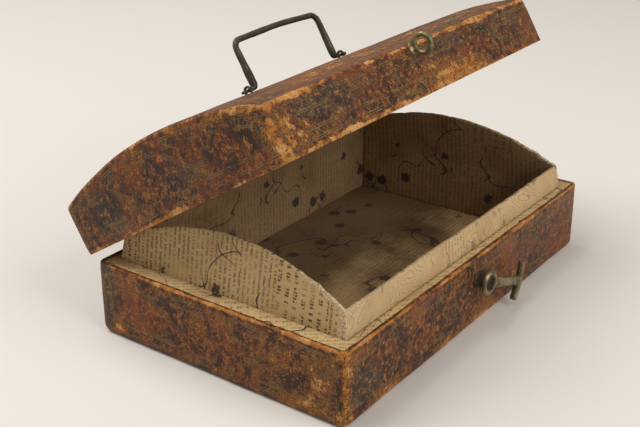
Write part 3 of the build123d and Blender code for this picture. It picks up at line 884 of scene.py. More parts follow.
@dataclass
class LeatherCover:
    """A leather covering modelled as one hide over a block, turned in over its open side."""

    name: str
    body: Body
    slot: Finish
    finish: bpy.types.Material
    low: float
    side: float
    arched: bool
    replaced: tuple[str, ...]
    wear_and_sheen: tuple[Patch, ...] = ()
    slate: tuple[Patch, ...] = ()
    corner: float = 5 * MM
    foot_round: float = 4.5 * MM
    rim_round: float = 0.9 * MM
    turn_in: float = 3 * MM
    thickness: float = 0.9 * MM
    pitch: float = 2.5 * MM

    def top(self, across: float) -> float:
        """Give the height of the outline's top at a place across it."""
        return self.low + self.side + (arch_rise(across) if self.arched else 0.0)

    def edge_distance(self, point: Vector, normal: Vector) -> float:
        """Give how far a point of the outside is from the nearest edge of its face.

        Args:
            point: A point of the outside.
            normal: Its face's normal.

        Returns:
            The distance.
        """
        ends = LENGTH / 2 - abs(point.x)
        sides = DEPTH / 2 - abs(point.y)
        above = self.top(point.y) - point.z
        below = point.z - self.low
        away = sorted((max(0.0, ends), max(0.0, sides), max(0.0, above), max(0.0, below)))
        return away[1] if abs(normal.z) < 0.99 or away[0] < 0.3 * MM else away[0]

    def block(self) -> bmesh.types.BMesh:
        """Shape the hide's outside, without thickness.

        Returns:
            The closed-box shape, open inside its turned-in edge.
        """
        shape = bmesh.new()
        middle = Matrix.Translation((0, 0, self.low + self.side / 2))
        place = middle @ Matrix.Diagonal((LENGTH, DEPTH, self.side, 1))
        bmesh.ops.create_cube(shape, size=1.0, matrix=place)
        upright = [edge for edge in shape.edges if abs((edge.verts[0].co - edge.verts[1].co).z) > self.side / 2]
        round_edges(shape, upright, self.corner, 5)
        shape.normal_update()
        ends = (self.low + self.side, self.low)
        closed_level, open_level = ends if self.arched else reversed(ends)
        round_edges(shape, level_edges(shape, closed_level), self.foot_round, 4)
        shape.normal_update()
        round_edges(shape, level_edges(shape, open_level), self.rim_round, 2)
        shape.normal_update()
        opening = [
            face for face in shape.faces
            if abs(abs(face.normal.z) - 1) < 1e-4 and abs(face.calc_center_median().z - open_level) < 1e-6
        ]
        turned = self.turn_in - self.rim_round
        bmesh.ops.inset_region(shape, faces=opening, thickness=turned, use_even_offset=True)
        bmesh.ops.delete(shape, geom=opening, context="FACES")
        cut_grid(shape, Vector((1, 0, 0)), LENGTH / 2, self.pitch)
        cut_grid(shape, Vector((0, 1, 0)), DEPTH / 2, self.pitch)
        cut_levels(shape, self.low, self.side, round(self.side / self.pitch))
        if self.arched:
            for vert in shape.verts:
                lift = (self.side + arch_rise(vert.co.y)) / self.side
                vert.co.z = self.low + (vert.co.z - self.low) * lift
        shape.normal_update()
        return shape

    def unwrap(self, shape: bmesh.types.BMesh) -> None:
        """Lay each face out flat in metres, by the way it faces.

        Args:
            shape: The hide's shape.
        """
        layer = shape.loops.layers.uv.new(HIDE_UV)
        for face in shape.faces:
            facing = face.normal
            for loop in face.loops:
                x, y, z = loop.vert.co
                if abs(facing.z) > 0.75:
                    loop[layer].uv = (x, y)
                elif abs(facing.x) > abs(facing.y):
                    loop[layer].uv = (y, z)
                else:
                    loop[layer].uv = (x, z)

    def paint(self, shape: bmesh.types.BMesh) -> None:
        """Store how worn each place is, with the painted sheen on the lid's top, how grey it is, and how far it
        is from its face's edge.

        Args:
            shape: The hide's shape.
        """
        worn_and_sheen = shape.verts.layers.float.new("wear_and_sheen")
        grey = shape.verts.layers.float.new("slate")
        edge = shape.verts.layers.float.new("edge")
        for vert in shape.verts:
            point = vert.co
            away = self.edge_distance(point, vert.normal)
            place = point / MM
            to_level = min(abs(self.top(point.y) - point.z), abs(point.z - self.low))
            corners = sorted((LENGTH / 2 - abs(point.x), DEPTH / 2 - abs(point.y), to_level))
            rubbed = 0.6 * smooth(corners[2], 9 * MM, 2 * MM)
            patches = max((patch.at(place) for patch in self.wear_and_sheen), default=0.0)
            vert[worn_and_sheen] = max(rubbed, patches)
            vert[grey] = max(0.0, 0.22 + 0.4 * wave(point, 22, 5.5), *(patch.at(place) for patch in self.slate))
            vert[edge] = away

    def weather(self, shape: bmesh.types.BMesh) -> None:
        """Move the surface as old leather lies: gently uneven, sunk where its face is gone.

        Args:
            shape: The hide's shape.
        """
        worn_and_sheen = shape.verts.layers.float["wear_and_sheen"]
        inner_x, inner_y = LENGTH / 2 - self.turn_in, DEPTH / 2 - self.turn_in
        for vert in shape.verts:
            point = vert.co.copy()
            turned = abs(point.x) <= inner_x + 1e-5 and abs(point.y) <= inner_y + 1e-5
            open_level = self.low if self.arched else self.low + self.side
            near_opening = abs(point.z - open_level) < 1.2 * MM
            uneven = 0.26 * wave(point, 42, 1.7) + 0.12 * wave(point, 160, 4.2)
            sunk = 0.38 * smooth(vert[worn_and_sheen] + 0.35 * wave(point, 210, 9.0), 0.45, 0.75)
            move = (uneven - sunk) * MM
            if near_opening:
                flat = vert.normal.copy()
                flat.z *= 0.25
                vert.co += flat * move
            else:
                vert.co += vert.normal * move
            if turned and near_opening:
                ragged = 0.5 * wave(point, 90, 6.0) + 0.35 * wave(point, 260, 2.0)
                vert.co += inward(point, inner_x - 1e-4, inner_y - 1e-4).normalized() * ragged * MM

    def build(self) -> bpy.types.Object:
        """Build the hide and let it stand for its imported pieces.

        Returns:
            The finished piece.
        """
        shape = self.block()
        self.unwrap(shape)
        self.paint(shape)
        self.weather(shape)
        if self.arched:
            bmesh.ops.transform(shape, matrix=SWING, verts=shape.verts)
        piece = add_piece(self.name, shape, self.finish, self.body)
        wall = piece.modifiers.new("thickness", "SOLIDIFY")
        wall.thickness = self.thickness
        wall.offset = -1.0
        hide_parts(*self.replaced)
        return piece


# ---- Lining -------------------------------------------------------------------------------------
@dataclass
class Lining:
    """Paper-covered cards inside the case, the paper on its ledge, and the paper in the lid."""

    left_paper: bpy.types.Material
    right_paper: bpy.types.Material
    front_paper: bpy.types.Material
    back_paper: bpy.types.Material
    ledge_paper: bpy.types.Material
    lid_paper: bpy.types.Material
    end_inside: float = 137 * MM
    side_inside: float = 87 * MM
    floor: float = 8.6 * MM
    card: float = 2.3 * MM
    end_lean: float = math.tan(math.radians(9.5))
    side_lean: float = math.tan(math.radians(7.0))
    end_peak: float = 87 * MM
    end_radius: float = 182.2 * MM
    end_half: float = 84.4 * MM
    side_top: float = 66 * MM
    ledge: float = 49.55 * MM
    lid_inside_x: float = 141 * MM
    lid_inside_y: float = 89 * MM
    lid_gap: float = 0.15 * MM
    lid_margin: float = 1.1 * MM
    lid_depth: float = 6.15 * MM
    seed: float = 4.0

    def standing_card(
        self, name: str, across: float, top: Callable[[float], float],
        place: Callable[[float, float], Vector], paper: bpy.types.Material, node: str,
    ) -> bpy.types.Object:
        """Build one card that stands inside the case.

        Args:
            name: The piece's name.
            across: Half the card's width.
            top: Its height at each place across.
            place: Where a point across and up goes.
            paper: The paper on it.
            node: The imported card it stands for.

        Returns:
            The finished piece.
        """
        shape = bmesh.new()
        columns, rows = round(2 * across / (2.2 * MM)), 30
        bmesh.ops.create_grid(shape, x_segments=columns, y_segments=rows, size=0.5)
        layer = shape.loops.layers.uv.new(SHEET_UV)
        torn = shape.verts.layers.float.new("torn")
        flat = {}
        for vert in shape.verts:
            over = vert.co.x * 2 * across
            share = vert.co.y + 0.5
            spot = Vector((over, 0, self.seed))
            frayed = smooth(over, -across + 45 * MM, -across + 12 * MM)
            fray = (0.5 + 0.5 * frayed) * wave(spot, 240, self.seed)
            peak = top(over) + (0.55 * wave(spot, 55, self.seed) + fray) * MM
            up = self.floor + 0.05 * MM + share * (peak - self.floor)
            flat[vert] = (over, up)
            vert[torn] = (0.35 + 0.45 * frayed) * smooth(peak - up, (1.5 + 5.0 * frayed) * MM, 0.3 * MM)
            if frayed:
                vert[torn] = max(vert[torn], 0.75 * smooth(over, -across + 7 * MM, -across + 2 * MM))
        for vert, (over, up) in flat.items():
            spot = place(over, up)
            loose = smooth(up, CASE_HEIGHT, CASE_HEIGHT + 12 * MM)
            at_end = abs(spot.x) > self.end_inside - 9 * MM and across < self.end_inside - 20 * MM
            facing = Vector((-spot.x, 0, 0)) if at_end else Vector((0, -spot.y, 0))
            buckle = (0.45 * wave(spot, 26, self.seed) + 0.2 * wave(spot, 95, self.seed)) * (0.25 + loose)
            vert.co = spot + facing.normalized() * max(-0.1, buckle) * MM
        for face in shape.faces:
            for loop in face.loops:
                loop[layer].uv = flat[loop.vert]
        shape.normal_update()
        middle = sum((face.normal for face in shape.faces), Vector())
        outward = sum((vert.co for vert in shape.verts), Vector()) / len(shape.verts)
        if middle.dot(Vector((outward.x, outward.y, 0))) < 0:
            bmesh.ops.reverse_faces(shape, faces=shape.faces)
        self.seed += 3.7
        piece = add_piece(name, shape, paper, Body.CASE)
        wall = piece.modifiers.new("card", "SOLIDIFY")
        wall.thickness = self.card
        wall.offset = -1.0
        soft = piece.modifiers.new("edges", "BEVEL")
        soft.width = 0.35 * MM
        soft.segments = 2
        soft.limit_method = "ANGLE"
        soft.angle_limit = math.radians(50)
        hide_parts(node)
        return piece

    def walls(self) -> None:
        """Build the two arched end cards and the two low side cards."""
        for end, sign, paper in (("left", -1, self.left_paper), ("right", 1, self.right_paper)):
            def on_end(over: float, up: float, sign: int = sign) -> Vector:
                """Place a point of the end card."""
                drift = max(0.0, up - CASE_HEIGHT) * self.end_lean
                return Vector((sign * (self.end_inside - drift), over, up))

            self.standing_card(
                f"end_card_{end}", self.end_half, self.end_top, on_end, paper, f"liner_{end}_wall"
            )
        for side, sign, paper in (("front", -1, self.front_paper), ("back", 1, self.back_paper)):
            def on_side(over: float, up: float, sign: int = sign) -> Vector:
                """Place a point of the side card."""
                rise = max(0.0, up - CASE_HEIGHT)
                narrow = 1 - rise * self.end_lean / self.end_inside
                return Vector((over * narrow, sign * (self.side_inside - rise * self.side_lean), up))

            reach = self.end_inside - 0.1 * MM
            self.standing_card(
                f"side_card_{side}", reach, lambda over: self.side_top, on_side, paper, f"liner_{side}_wall"
            )

    def end_top(self, over: float) -> float:
        """Give the height of an end card's arched top."""
        return self.end_peak - self.end_radius + math.sqrt(self.end_radius**2 - over**2)

    def ledge_sheet(self) -> bpy.types.Object:
        """Build the paper on the ledge, with its outer edge uneven.

        Returns:
            The finished piece.
        """
        shape = bmesh.new()
        outer_x, outer_y = LENGTH / 2 - 2.7 * MM, DEPTH / 2 - 2.7 * MM
        place = Matrix.Translation((0, 0, self.ledge)) @ Matrix.Diagonal((outer_x, outer_y, 1, 1))
        bmesh.ops.create_grid(shape, x_segments=1, y_segments=1, size=1.0, matrix=place)
        bmesh.ops.bevel(
            shape, geom=list(shape.verts), offset=2.4 * MM, offset_type="OFFSET", segments=3,
            profile=0.5, affect="VERTICES", material=-1,
        )
        for axis, reach in ((Vector((1, 0, 0)), self.end_inside), (Vector((0, 1, 0)), self.side_inside)):
            for sign in (-1, 1):
                geometry = [*shape.verts, *shape.edges, *shape.faces]
                spot = axis * reach * sign
                bmesh.ops.bisect_plane(shape, geom=geometry, dist=1e-6, plane_co=spot, plane_no=axis)
        cut_grid(shape, Vector((1, 0, 0)), LENGTH / 2, 2.5 * MM)
        cut_grid(shape, Vector((0, 1, 0)), DEPTH / 2, 2.5 * MM)
        middle = [
            face for face in shape.faces
            if abs(face.calc_center_median().x) < self.end_inside
            and abs(face.calc_center_median().y) < self.side_inside
        ]
        bmesh.ops.delete(shape, geom=middle, context="FACES")
        layer = shape.loops.layers.uv.new(SHEET_UV)
        for face in shape.faces:
            for loop in face.loops:
                loop[layer].uv = loop.vert.co.xy
        for vert in shape.verts:
            point = vert.co.copy()
            vert.co.z += (0.12 * wave(point, 60, 2.0) + 0.06 * wave(point, 200, 5.0)) * MM
            toward = inward(point, outer_x - 2.5 * MM, outer_y - 2.5 * MM)
            if toward.length and any(edge.is_boundary for edge in vert.link_edges):
                ragged = 0.25 + 0.55 * wave(point, 70, 7.0) + 0.5 * wave(point, 240, 1.0)
                vert.co += toward.normalized() * ragged * MM
        piece = add_piece("ledge_sheet", shape, self.ledge_paper, Body.CASE)
        wall = piece.modifiers.new("paper", "SOLIDIFY")
        wall.thickness = 0.35 * MM
        wall.offset = -1.0
        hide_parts(*(f"ledge_paper_{side}" for side in ("front", "back", "left", "right")))
        return piece

    def lid_sheet(self) -> bpy.types.Object:
        """Build the paper inside the lid, which follows its boards and arched top.

        Returns:
            The finished piece.
        """
        half_x, half_y = self.lid_inside_x - self.lid_gap, self.lid_inside_y - self.lid_gap
        low = LID_LOW + self.lid_margin
        inside_radius = ARCH_RADIUS - self.lid_depth
        centre = LID_PEAK - ARCH_RADIUS
        spring = centre + math.sqrt(inside_radius**2 - half_y**2)
        shape = bmesh.new()
        middle = Matrix.Translation((0, 0, (low + spring) / 2))
        place = middle @ Matrix.Diagonal((2 * half_x, 2 * half_y, spring - low, 1))
        bmesh.ops.create_cube(shape, size=1.0, matrix=place)
        under = [face for face in shape.faces if face.calc_center_median().z < low + 1e-6]
        bmesh.ops.delete(shape, geom=under, context="FACES")
        cut_grid(shape, Vector((1, 0, 0)), half_x, 5 * MM)
        cut_grid(shape, Vector((0, 1, 0)), half_y, 4 * MM)
        cut_levels(shape, low, spring - low, 8)
        for vert in shape.verts:
            top = centre + math.sqrt(inside_radius**2 - vert.co.y**2)
            vert.co.z = low + (vert.co.z - low) * (top - low) / (spring - low)
        shape.normal_update()
        layer = shape.loops.layers.uv.new(SHEET_UV)
        for face in shape.faces:
            facing = face.normal
            for loop in face.loops:
                x, y, z = loop.vert.co
                flat = (x, y) if abs(facing.z) > 0.6 else (y, z) if abs(facing.x) > 0.5 else (x, z)
                loop[layer].uv = flat
        for vert in shape.verts:
            vert.co -= vert.normal * (0.2 + 0.2 * wave(vert.co, 30, 3.0) + 0.12 * wave(vert.co, 110, 6.0)) * MM
        bmesh.ops.reverse_faces(shape, faces=shape.faces)
        bmesh.ops.transform(shape, matrix=SWING, verts=shape.verts)
        piece = add_piece("lid_sheet", shape, self.lid_paper, Body.LID)
        wall = piece.modifiers.new("paper", "SOLIDIFY")
        wall.thickness = 0.3 * MM
        wall.offset = -1.0
        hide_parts("lid_lining")
        return piece

    def build(self) -> None:
        """Build every piece of the lining."""
        self.walls()
        self.ledge_sheet()
        self.lid_sheet()


# ---- Metalwork ----------------------------------------------------------------------------------
@dataclass
class Handle:
    """The wire bail on the lid and the two staples that hold its feet."""

    iron: bpy.types.Material
    wire: float = 2.4 * MM
    clear: float = 0.5 * MM
    feet: float = 88 * MM
    top: float = 89 * MM
    height: float = 33 * MM
    toe: float = 13 * MM
    staple_wire: float = 0.9 * MM
    staple_toe: float = 7.5 * MM

    def spot(self, along: float, up: float) -> Vector:
        """Place a point of the handle on the open lid."""
        return SWING @ Vector((along, 0, LID_PEAK + self.wire + self.clear + up))

    def radius(self, share: float) -> float:
        """Give the bar's radius along the way: thicker low on the legs, thin at the toes."""
        leg = max(smooth(abs(share - 0.15), 0.10, 0.0), smooth(abs(share - 0.85), 0.10, 0.0))
        hammered = 0.09 * noise.noise(Vector((share * 38, 0.5, 2.0)))
        toe = smooth(min(share, 1 - share), 0.05, 0.085)
        return self.wire * (0.86 + 0.24 * leg + hammered) * (0.52 + 0.48 * toe)

    def build(self) -> None:
        """Build the bail and its staples."""
        half, reach = self.feet / 2, self.top / 2
        bow = 1.6 * MM
        corners = [
            self.spot(-half - self.toe, 0), self.spot(-half, 0), self.spot(-reach, self.height),
            self.spot(0.1 * reach, self.height + bow), self.spot(reach, self.height),
            self.spot(half, 0), self.spot(half + self.toe, 0),
        ]
        route = rounded_route(corners, (3 * MM, 6 * MM, 300 * MM, 6 * MM, 3 * MM), 3 * MM)
        up = SWING.to_3x3() @ Vector((0, 1, 0))
        shape = tube(wire_stations(route, self.radius), up, 16, False)
        bail = add_piece("bail", shape, self.iron, Body.HANDLE)
        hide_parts("handle_bail")
        reach = 2.5 * MM
        level = LID_PEAK + self.wire + self.clear
        for end, sign in (("left", -1), ("right", 1)):
            x = sign * (self.feet / 2 + self.staple_toe)
            under = LID_PEAK - 4.8 * MM
            points = [(-reach, under), (-reach, level + reach), (reach, level + reach), (reach, under)]
            corners = [SWING @ Vector((x, over, height)) for over, height in points]
            route = rounded_route(corners, (reach - 0.3 * MM,) * 2, 1.5 * MM)
            shape = tube(wire_stations(route, lambda share: self.staple_wire), Vector((1, 0, 0)), 12, False)
            staple = add_piece(f"staple_{end}", shape, self.iron, Body.LID)
            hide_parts(f"handle_staple_{end}")


@dataclass
class Catch:
    """The hook on the case with its pivot, and the eye on the lid with its rose."""

    brass: bpy.types.Material
    stud_shade_brass: bpy.types.Material
    pivot: Vector = field(default_factory=lambda: Vector((0, -96 * MM, 32.9 * MM)))
    eye: Vector = field(default_factory=lambda: Vector((-3.5 * MM, -104 * MM, 80.4 * MM)))
    rest: float = math.radians(-21.0)
    proud: float = 8 * MM
    reach: float = 46.43 * MM
    ring: float = 6.45 * MM
    arm_half_angle: float = math.radians(16.8)
    eye_ring: float = 5.85 * MM
    eye_wire: float = 1.62 * MM

    def frame(self) -> Matrix:
        """Give the hook's own frame: X along its shank, Z out of the case's front.

        Returns:
            The hook's frame, in the model's.
        """
        turn = Matrix((
            (math.cos(self.rest), -math.sin(self.rest), 0),
            (0, 0, -1),
            (math.sin(self.rest), math.cos(self.rest), 0),
        )).to_4x4()
        turn.translation = self.pivot
        return turn

    def hook(self) -> bpy.types.Object:
        """Build the ring end, tapering shank and curved cross arm as one forged piece.

        Returns:
            The finished piece.
        """
        frame = self.frame()
        turn = frame.to_3x3()
        out = turn @ Vector((0, 0, 1))
        plane = self.proud
        ring = []
        for step in range(40):
            angle = 2 * math.pi * step / 40
            centre = frame @ Vector((self.ring * math.cos(angle), self.ring * math.sin(angle), plane))
            ahead = turn @ Vector((-math.sin(angle), math.cos(angle), 0))
            ring.append((centre, ahead, 1.95 * MM, 1.72 * MM))
        shape = tube(ring, out, 16, True)
        shank = []
        for step in range(21):
            share = step / 20
            far = self.ring + (self.reach - self.ring) * share
            wide = (3.9 - 0.6 * smooth(share, 0.0, 0.45) + 0.5 * smooth(share, 0.75, 1.0)) * MM
            thick = (1.5 - 0.12 * smooth(share, 0.1, 0.6)) * MM
            shank.append((frame @ Vector((far, 0, plane)), turn @ Vector((1, 0, 0)), wide, thick))
        arm = []
        for step in range(25):
            share = step / 24
            angle = -self.arm_half_angle + 2 * self.arm_half_angle * share
            tip = smooth(min(share, 1 - share), 0.0, 0.07)
            centre = frame @ Vector((self.reach * math.cos(angle), self.reach * math.sin(angle), plane))
            ahead = turn @ Vector((-math.sin(angle), math.cos(angle), 0))
            arm.append((centre, ahead, 1.6 * MM * (0.75 + 0.25 * tip), 2.6 * MM * (0.8 + 0.2 * tip)))
        absorb(shape, tube(shank, out, 14, False), tube(arm, out, 14, False))
        piece = add_piece("hook", shape, self.brass, Body.HOOK)
        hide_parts("hook_arm")
        return piece

    def stud(self) -> bpy.types.Object:
        """Turn the pivot stud, with its flange, collar, neck and dished head.

        Returns:
            The finished piece.
        """
        outline = [
            (0.0, -0.6), (5.8, -0.6), (5.9, 0.3), (5.4, 0.9), (4.7, 1.3), (4.6, 6.0), (4.55, 6.3), (4.4, 6.35),
            (4.4, 9.66), (5.0, 9.66), (5.2, 9.85), (5.1, 10.1), (4.8, 10.25), (4.5, 10.15), (4.2, 9.8),
            (3.95, 9.2), (3.9, 6.2), (3.4, 5.6), (0.0, 5.5),
        ]
        shape = bmesh.new()
        turn_outline(shape, self.pivot, outline, 36)
        # The stud takes the darker copy of the brass, which is painted shade.
        piece = add_piece("pivot_stud", shape, self.stud_shade_brass, Body.CASE)
        crease = piece.modifiers.new("edges", "BEVEL")
        crease.width = 0.2 * MM
        crease.segments = 2
        crease.angle_limit = math.radians(40)
        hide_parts("hook_pivot")
        return piece

    def lid_eye(self) -> bpy.types.Object:
        """Build the ring on the lid with its shank and rose.

        Returns:
            The finished piece.
        """
        stations = ring_stations(
            self.eye, self.eye_ring, 36, lambda way: self.eye_wire * (1 + 0.08 * noise.noise(way * 2.2))
        )
        shape = tube(stations, Vector((1, 0, 0)), 14, True)
        outline = [(0.0, 1.4), (2.0, 1.5), (2.4, 1.1), (4.2, 0.85), (4.6, 0.35), (4.55, -0.5), (0.0, -0.5)]
        base = Vector((self.eye.x, -96 * MM, self.eye.z))
        turn_outline(shape, base, outline, 28)
        bmesh.ops.transform(shape, matrix=SWING, verts=shape.verts)
        piece = add_piece("lid_eye", shape, self.brass, Body.LID)
        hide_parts("catch_eye", "catch_rose")
        return piece

    def build(self) -> None:
        """Build every piece of the catch."""
        self.hook()
        self.stud()
        self.lid_eye()


@dataclass
class Hinges:
    """Two wire eyes in the case's back, and the two wire links in the lid's back that turn in them."""

    iron: bpy.types.Material
    x: float = 88 * MM
    ring: float = 3 * MM
    wire: float = 0.9 * MM
    link_wire: float = 1.0 * MM
    link_half: float = 4.2 * MM

    def build(self) -> None:
        """Build both hinges."""
        for end, sign in (("left", -1), ("right", 1)):
            centre = Vector((sign * self.x, HINGE.y, HINGE.z))
            stations = ring_stations(centre, self.ring, 28, lambda way: self.wire)
            shape = tube(stations, Vector((1, 0, 0)), 12, True)
            shank = [centre + Vector((0, -self.ring - step * 1.1 * MM, 0)) for step in range(5)]
            stem = tube(wire_stations(shank, lambda share: 1.2 * MM), Vector((1, 0, 0)), 12, False)
            absorb(shape, stem)
            eye = add_piece(f"hinge_eye_{end}", shape, self.iron, Body.CASE)
            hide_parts(f"case_hinge_eye_{end}")
            left, right = centre.x - self.link_half, centre.x + self.link_half
            high, tip = HINGE.z + 20 * MM, DEPTH / 2 - 3 * MM
            points = [
                (left, tip, high), (left, HINGE.y, high), (left, HINGE.y, HINGE.z),
                (right, HINGE.y, HINGE.z), (right, HINGE.y, high), (right, tip, high),
            ]
            corners = [SWING @ Vector(point) for point in points]
            route = rounded_route(corners, (2.2 * MM,) * 4, 1.5 * MM)
            up = (SWING.to_3x3() @ Vector((0.35, 0.8, 0.5))).normalized()
            link = add_piece(
                f"hinge_link_{end}", tube(wire_stations(route, lambda share: self.link_wire), up, 12, False),
                self.iron, Body.LID,
            )
            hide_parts(f"lid_hinge_link_{end}")


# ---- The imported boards, and the room ------------------------------------------------------------
@dataclass
class Timber:
    """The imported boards, nails and floor card, which keep their shapes and get their finishes."""

    nodes: dict[str, bpy.types.Object]
    wood: bpy.types.Material
    iron: bpy.types.Material
    floor_paper: bpy.types.Material

    def dress(self) -> None:
        """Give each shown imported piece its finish."""
        for name, node in self.nodes.items():
            if node.hide_render:
                continue
            finish = self.iron if "nails" in name else self.floor_paper if name == "liner_floor" else self.wood
            if not node.material_slots:
                node.data.materials.append(finish)
            for slot in node.material_slots:
                slot.material = finish
            LOG.info("%s keeps its shape", name)


@dataclass
class Studio:
    """A pale floor, soft light and the camera."""

    floor_colour: Colour = (0.700, 0.672, 0.635)
    floor_half: float = 6.0
    world_colour: Colour = (1.0, 0.965, 0.92)
    world_strength: float = 0.36
    lens: float = 62.3
    sensor: float = 36.0
    near_clip: float = 0.01
    camera_place: Vector = field(default_factory=lambda: Vector((-0.573, -0.387, 0.364)))
    camera_aim: Vector = field(default_factory=lambda: Vector((-0.0141, 0.0200, 0.0539)))

    def soft_light(
        self, name: str, place: Sequence[float], aim: Sequence[float], size: float, power: float, colour: Colour
    ) -> None:
        """Hang one soft light.

        Args:
            name: The light's name.
            place: Where it hangs.
            aim: What it points at.
            size: The length of its side.
            power: Its power in watts.
            colour: Its colour.
        """
        data = bpy.data.lights.new(name, "AREA")
        data.size = size
        data.energy = power
        data.color = colour
        lamp = bpy.data.objects.new(name, data)
        lamp.location = place
        lamp.rotation_euler = (Vector(aim) - Vector(place)).to_track_quat("-Z", "Y").to_euler()
        bpy.context.scene.collection.objects.link(lamp)

    def build(self) -> None:
        """Build the floor, the lights and the camera."""
        scene = bpy.context.scene
        scene.view_settings.view_transform = "Standard"
        graph = Graph("pale_floor")
        graph.feed(graph.shader.inputs["Base Color"], self.floor_colour)
        graph.shader.inputs["Roughness"].default_value = 0.9
        graph.shader.inputs["Specular IOR Level"].default_value = 0.1
        shape = bmesh.new()
        bmesh.ops.create_grid(shape, x_segments=2, y_segments=2, size=self.floor_half)
        mesh = bpy.data.meshes.new("floor")
        shape.to_mesh(mesh)
        shape.free()
        mesh.materials.append(graph.material)
        floor = bpy.data.objects.new("floor", mesh)
        scene.collection.objects.link(floor)
        world = bpy.data.worlds.new("soft_room")
        world.use_nodes = True
        backdrop = world.node_tree.nodes["Background"]
        backdrop.inputs[0].default_value = (*self.world_colour, 1)
        backdrop.inputs[1].default_value = self.world_strength
        scene.world = world
        self.soft_light("overhead", (-0.45, 0.95, 1.8), (0, 0.1, 0.05), 1.5, 36.0, (1.0, 0.975, 0.94))
        self.soft_light("fill", (0.0, -1.6, 1.15), (0, 0, 0.08), 1.3, 21.0, (1.0, 0.965, 0.92))
        data = bpy.data.cameras.new("camera")
        data.lens = self.lens
        data.sensor_width = self.sensor
        data.clip_start = self.near_clip
        camera = bpy.data.objects.new("camera", data)
        camera.location = self.camera_place
        camera.rotation_euler = (self.camera_aim - self.camera_place).to_track_quat("-Z", "Y").to_euler()
        scene.collection.objects.link(camera)
        scene.camera = camera


# ---- Where the leather is worn and greyed, with a painted sheen on the lid's top, in millimetres on the closed box ---
LID_WEAR_AND_SHEEN = (
    Patch((-146, -96, 68), 7, 22, 0.62, (1.1, 0.5, 1.3)),
    Patch((-128, -96, 60), 3, 14, 0.5, (1.3, 1.0, 1.0)),
    Patch((28, -96, 52), 7, 19, 0.66, (3.4, 1.0, 0.9)),
    Patch((0, -96, 63), 3, 14, 0.52, (1.6, 1.0, 0.9)),
    Patch((-120, -96, 82), 2, 8, 0.62, (4.0, 1.0, 0.6)),
    Patch((-60, -96, 50), 2, 8, 0.5, (5.0, 1.0, 0.6)),
    Patch((-150, -62, 89), 2, 9, 0.6, (1.0, 2.4, 0.6)),
    Patch((-150, -28, 94), 2, 9, 0.58, (1.0, 1.8, 0.6)),
    Patch((-150, 10, 70), 2, 14, 0.26, (1.0, 1.2, 1.0)),
    Patch((-150, 0, 51), 2, 9, 0.34, (1.0, 6.0, 0.8)),
    Patch((150, -96, 82), 4, 14, 0.62),
    # Wide patch on the lid's top near the front: partly wear, partly painted sheen of the top seen at a grazing
    # angle.
    Patch((0, -66, 92), 14, 44, 0.42, (6.0, 1.0, 1.0)),
)
LID_SLATE = (
    Patch((-95, -96, 73), 14, 34, 0.62, (2.0, 1.0, 0.45)),
    Patch((20, -96, 74), 12, 30, 0.6, (2.2, 1.0, 0.45)),
    Patch((110, -96, 71), 14, 32, 0.55, (1.4, 1.0, 0.6)),
    Patch((-150, 58, 68), 6, 30, 0.7),
    Patch((-150, -15, 68), 6, 26, 0.6, (1.0, 1.6, 0.8)),
    Patch((0, 30, 100), 40, 110, 0.55, (2.0, 1.0, 1.0)),
)
CASE_WEAR = (
    Patch((-150, -20, 22), 10, 46, 0.16, (1.0, 1.8, 0.7)),
    Patch((-150, -62, 6), 5, 20, 0.42, (1.0, 1.8, 0.7)),
    Patch((-150, -78, 20), 4, 18, 0.34, (1.0, 1.0, 1.3)),
    Patch((-150, -84, 40), 2, 12, 0.3),
    Patch((-150, 84, 7), 4, 13, 0.6, (1.0, 1.0, 0.8)),
    Patch((-150, -96, 4), 5, 15, 0.55),
    Patch((-147, -96, 26), 2, 6, 0.5, (1.0, 1.0, 4.5)),
    Patch((-110, -96, 4), 3, 13, 0.5, (2.5, 1.0, 0.7)),
    Patch((0, -96, 2), 3, 11, 0.52, (7.0, 1.0, 0.8)),
    Patch((60, -96, 16), 1, 9, 0.4, (2.0, 1.0, 1.0)),
)
CASE_SLATE = (
    Patch((-128, -96, 20), 12, 28, 0.62, (1.2, 1.0, 0.8)),
    Patch((-85, -96, 14), 8, 24, 0.5, (2.0, 1.0, 0.6)),
    Patch((90, -96, 26), 14, 38, 0.5, (2.0, 1.0, 0.8)),
    Patch((-150, 95, 28), 10, 17, 1.7, (1.0, 1.0, 2.6)),
    Patch((-150, -52, 20), 5, 18, 0.55, (1.0, 1.4, 1.0)),
)


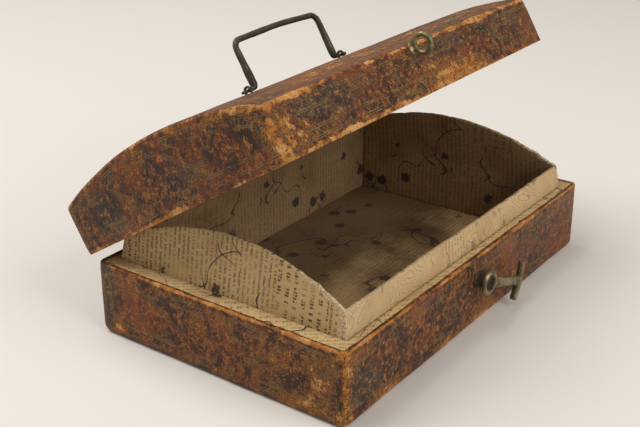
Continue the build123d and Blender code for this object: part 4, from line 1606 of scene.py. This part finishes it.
def covers() -> tuple[LeatherCover, LeatherCover]:
    """Describe the two leather covers.

    Returns:
        The case's cover and the lid's.
    """
    sides = ("front", "back", "left", "right")
    case = LeatherCover(
        "case_leather", Body.CASE, Finish.CASE_LEATHER,
        TooledLeather("case_calf", rim=2.0 * MM, rub=0.22).make(), 0.0, CASE_HEIGHT, False,
        (*(f"case_cover_{side}" for side in sides), "case_cover_underside"), CASE_WEAR, CASE_SLATE,
    )
    lid = LeatherCover(
        "lid_leather", Body.LID, Finish.LID_LEATHER,
        TooledLeather("lid_calf", rim=3.6 * MM, rub=0.07, dark=(0.026, 0.014, 0.010)).make(),
        LID_LOW, LID_SIDE, True,
        (*(f"lid_cover_{side}" for side in sides), "lid_cover_top"), LID_WEAR_AND_SHEEN, LID_SLATE,
        foot_round=2.6 * MM, rim_round=0.6 * MM,
    )
    return case, lid


def main() -> None:
    """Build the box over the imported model, piece by piece."""
    logging.basicConfig(level=logging.INFO, format="%(message)s")
    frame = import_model()
    Studio().build()
    for cover in covers():
        cover.build()
    iron = AgedMetal("dark_iron", (0.078, 0.066, 0.044), (0.050, 0.038, 0.024), 0.45, 0.52).make()
    brass = AgedMetal("dull_brass", (0.30, 0.245, 0.125), (0.13, 0.115, 0.065), 0.85, 0.40).make()
    Lining(
        PrintedPaper("left_paper", turn=90, paper=(0.52, 0.365, 0.172), big_share=0.3, type_ink=0.9).make(),
        # The right, back and lid papers are darker than the left, front and ledge papers: partly their own
        # colour, partly painted shade, as their inner faces lie in the open lid's shade.
        PrintedPaper(
            "right_paper", turn=90, shift=(0.31, 0.2, 0),
            paper=(0.37, 0.245, 0.12), stain=(0.16, 0.09, 0.04),
        ).make(),
        PrintedPaper(
            "front_paper", turn=90, shift=(0.02, 0.05, 0), grain_lines=0.5, stems=0.5,
            paper=(0.58, 0.42, 0.225),
        ).make(),
        PrintedPaper(
            "back_paper", turn=90, shift=(0.12, 0.4, 0), type_ink=0.6,
            paper=(0.31, 0.20, 0.10), stain=(0.14, 0.08, 0.035),
        ).make(),
        PrintedPaper("ledge_paper", turn=52, paper=(0.60, 0.43, 0.21), big_share=0.5, type_ink=0.6).make(),
        PrintedPaper("lid_paper", turn=4, stems=0.8, paper=(0.38, 0.25, 0.12)).make(),
    ).build()
    Handle(iron).build()
    # A darker copy of the brass for the pivot stud: painted shade, so its collar and head read as a dark hole
    # behind the hook's ring.
    painted_shade_brass = AgedMetal("shadowed_brass", (0.10, 0.078, 0.040), (0.045, 0.034, 0.020), 0.6, 0.5).make()
    Catch(brass, painted_shade_brass).build()
    Hinges(iron).build()
    # The floor card's paper darkens towards the back with painted shade, which leaves a light patch near the
    # front card.
    floor_paper = PrintedPaper(
        "floor_paper", Pattern.OBJECT, stems=0.8, type_ink=0.5, paper=(0.78, 0.55, 0.29), painted_shade=0.82
    ).make()
    Timber(frame["nodes"], BareWood("softwood").make(), iron, floor_paper).dress()


if __name__ == "__main__":
    main()
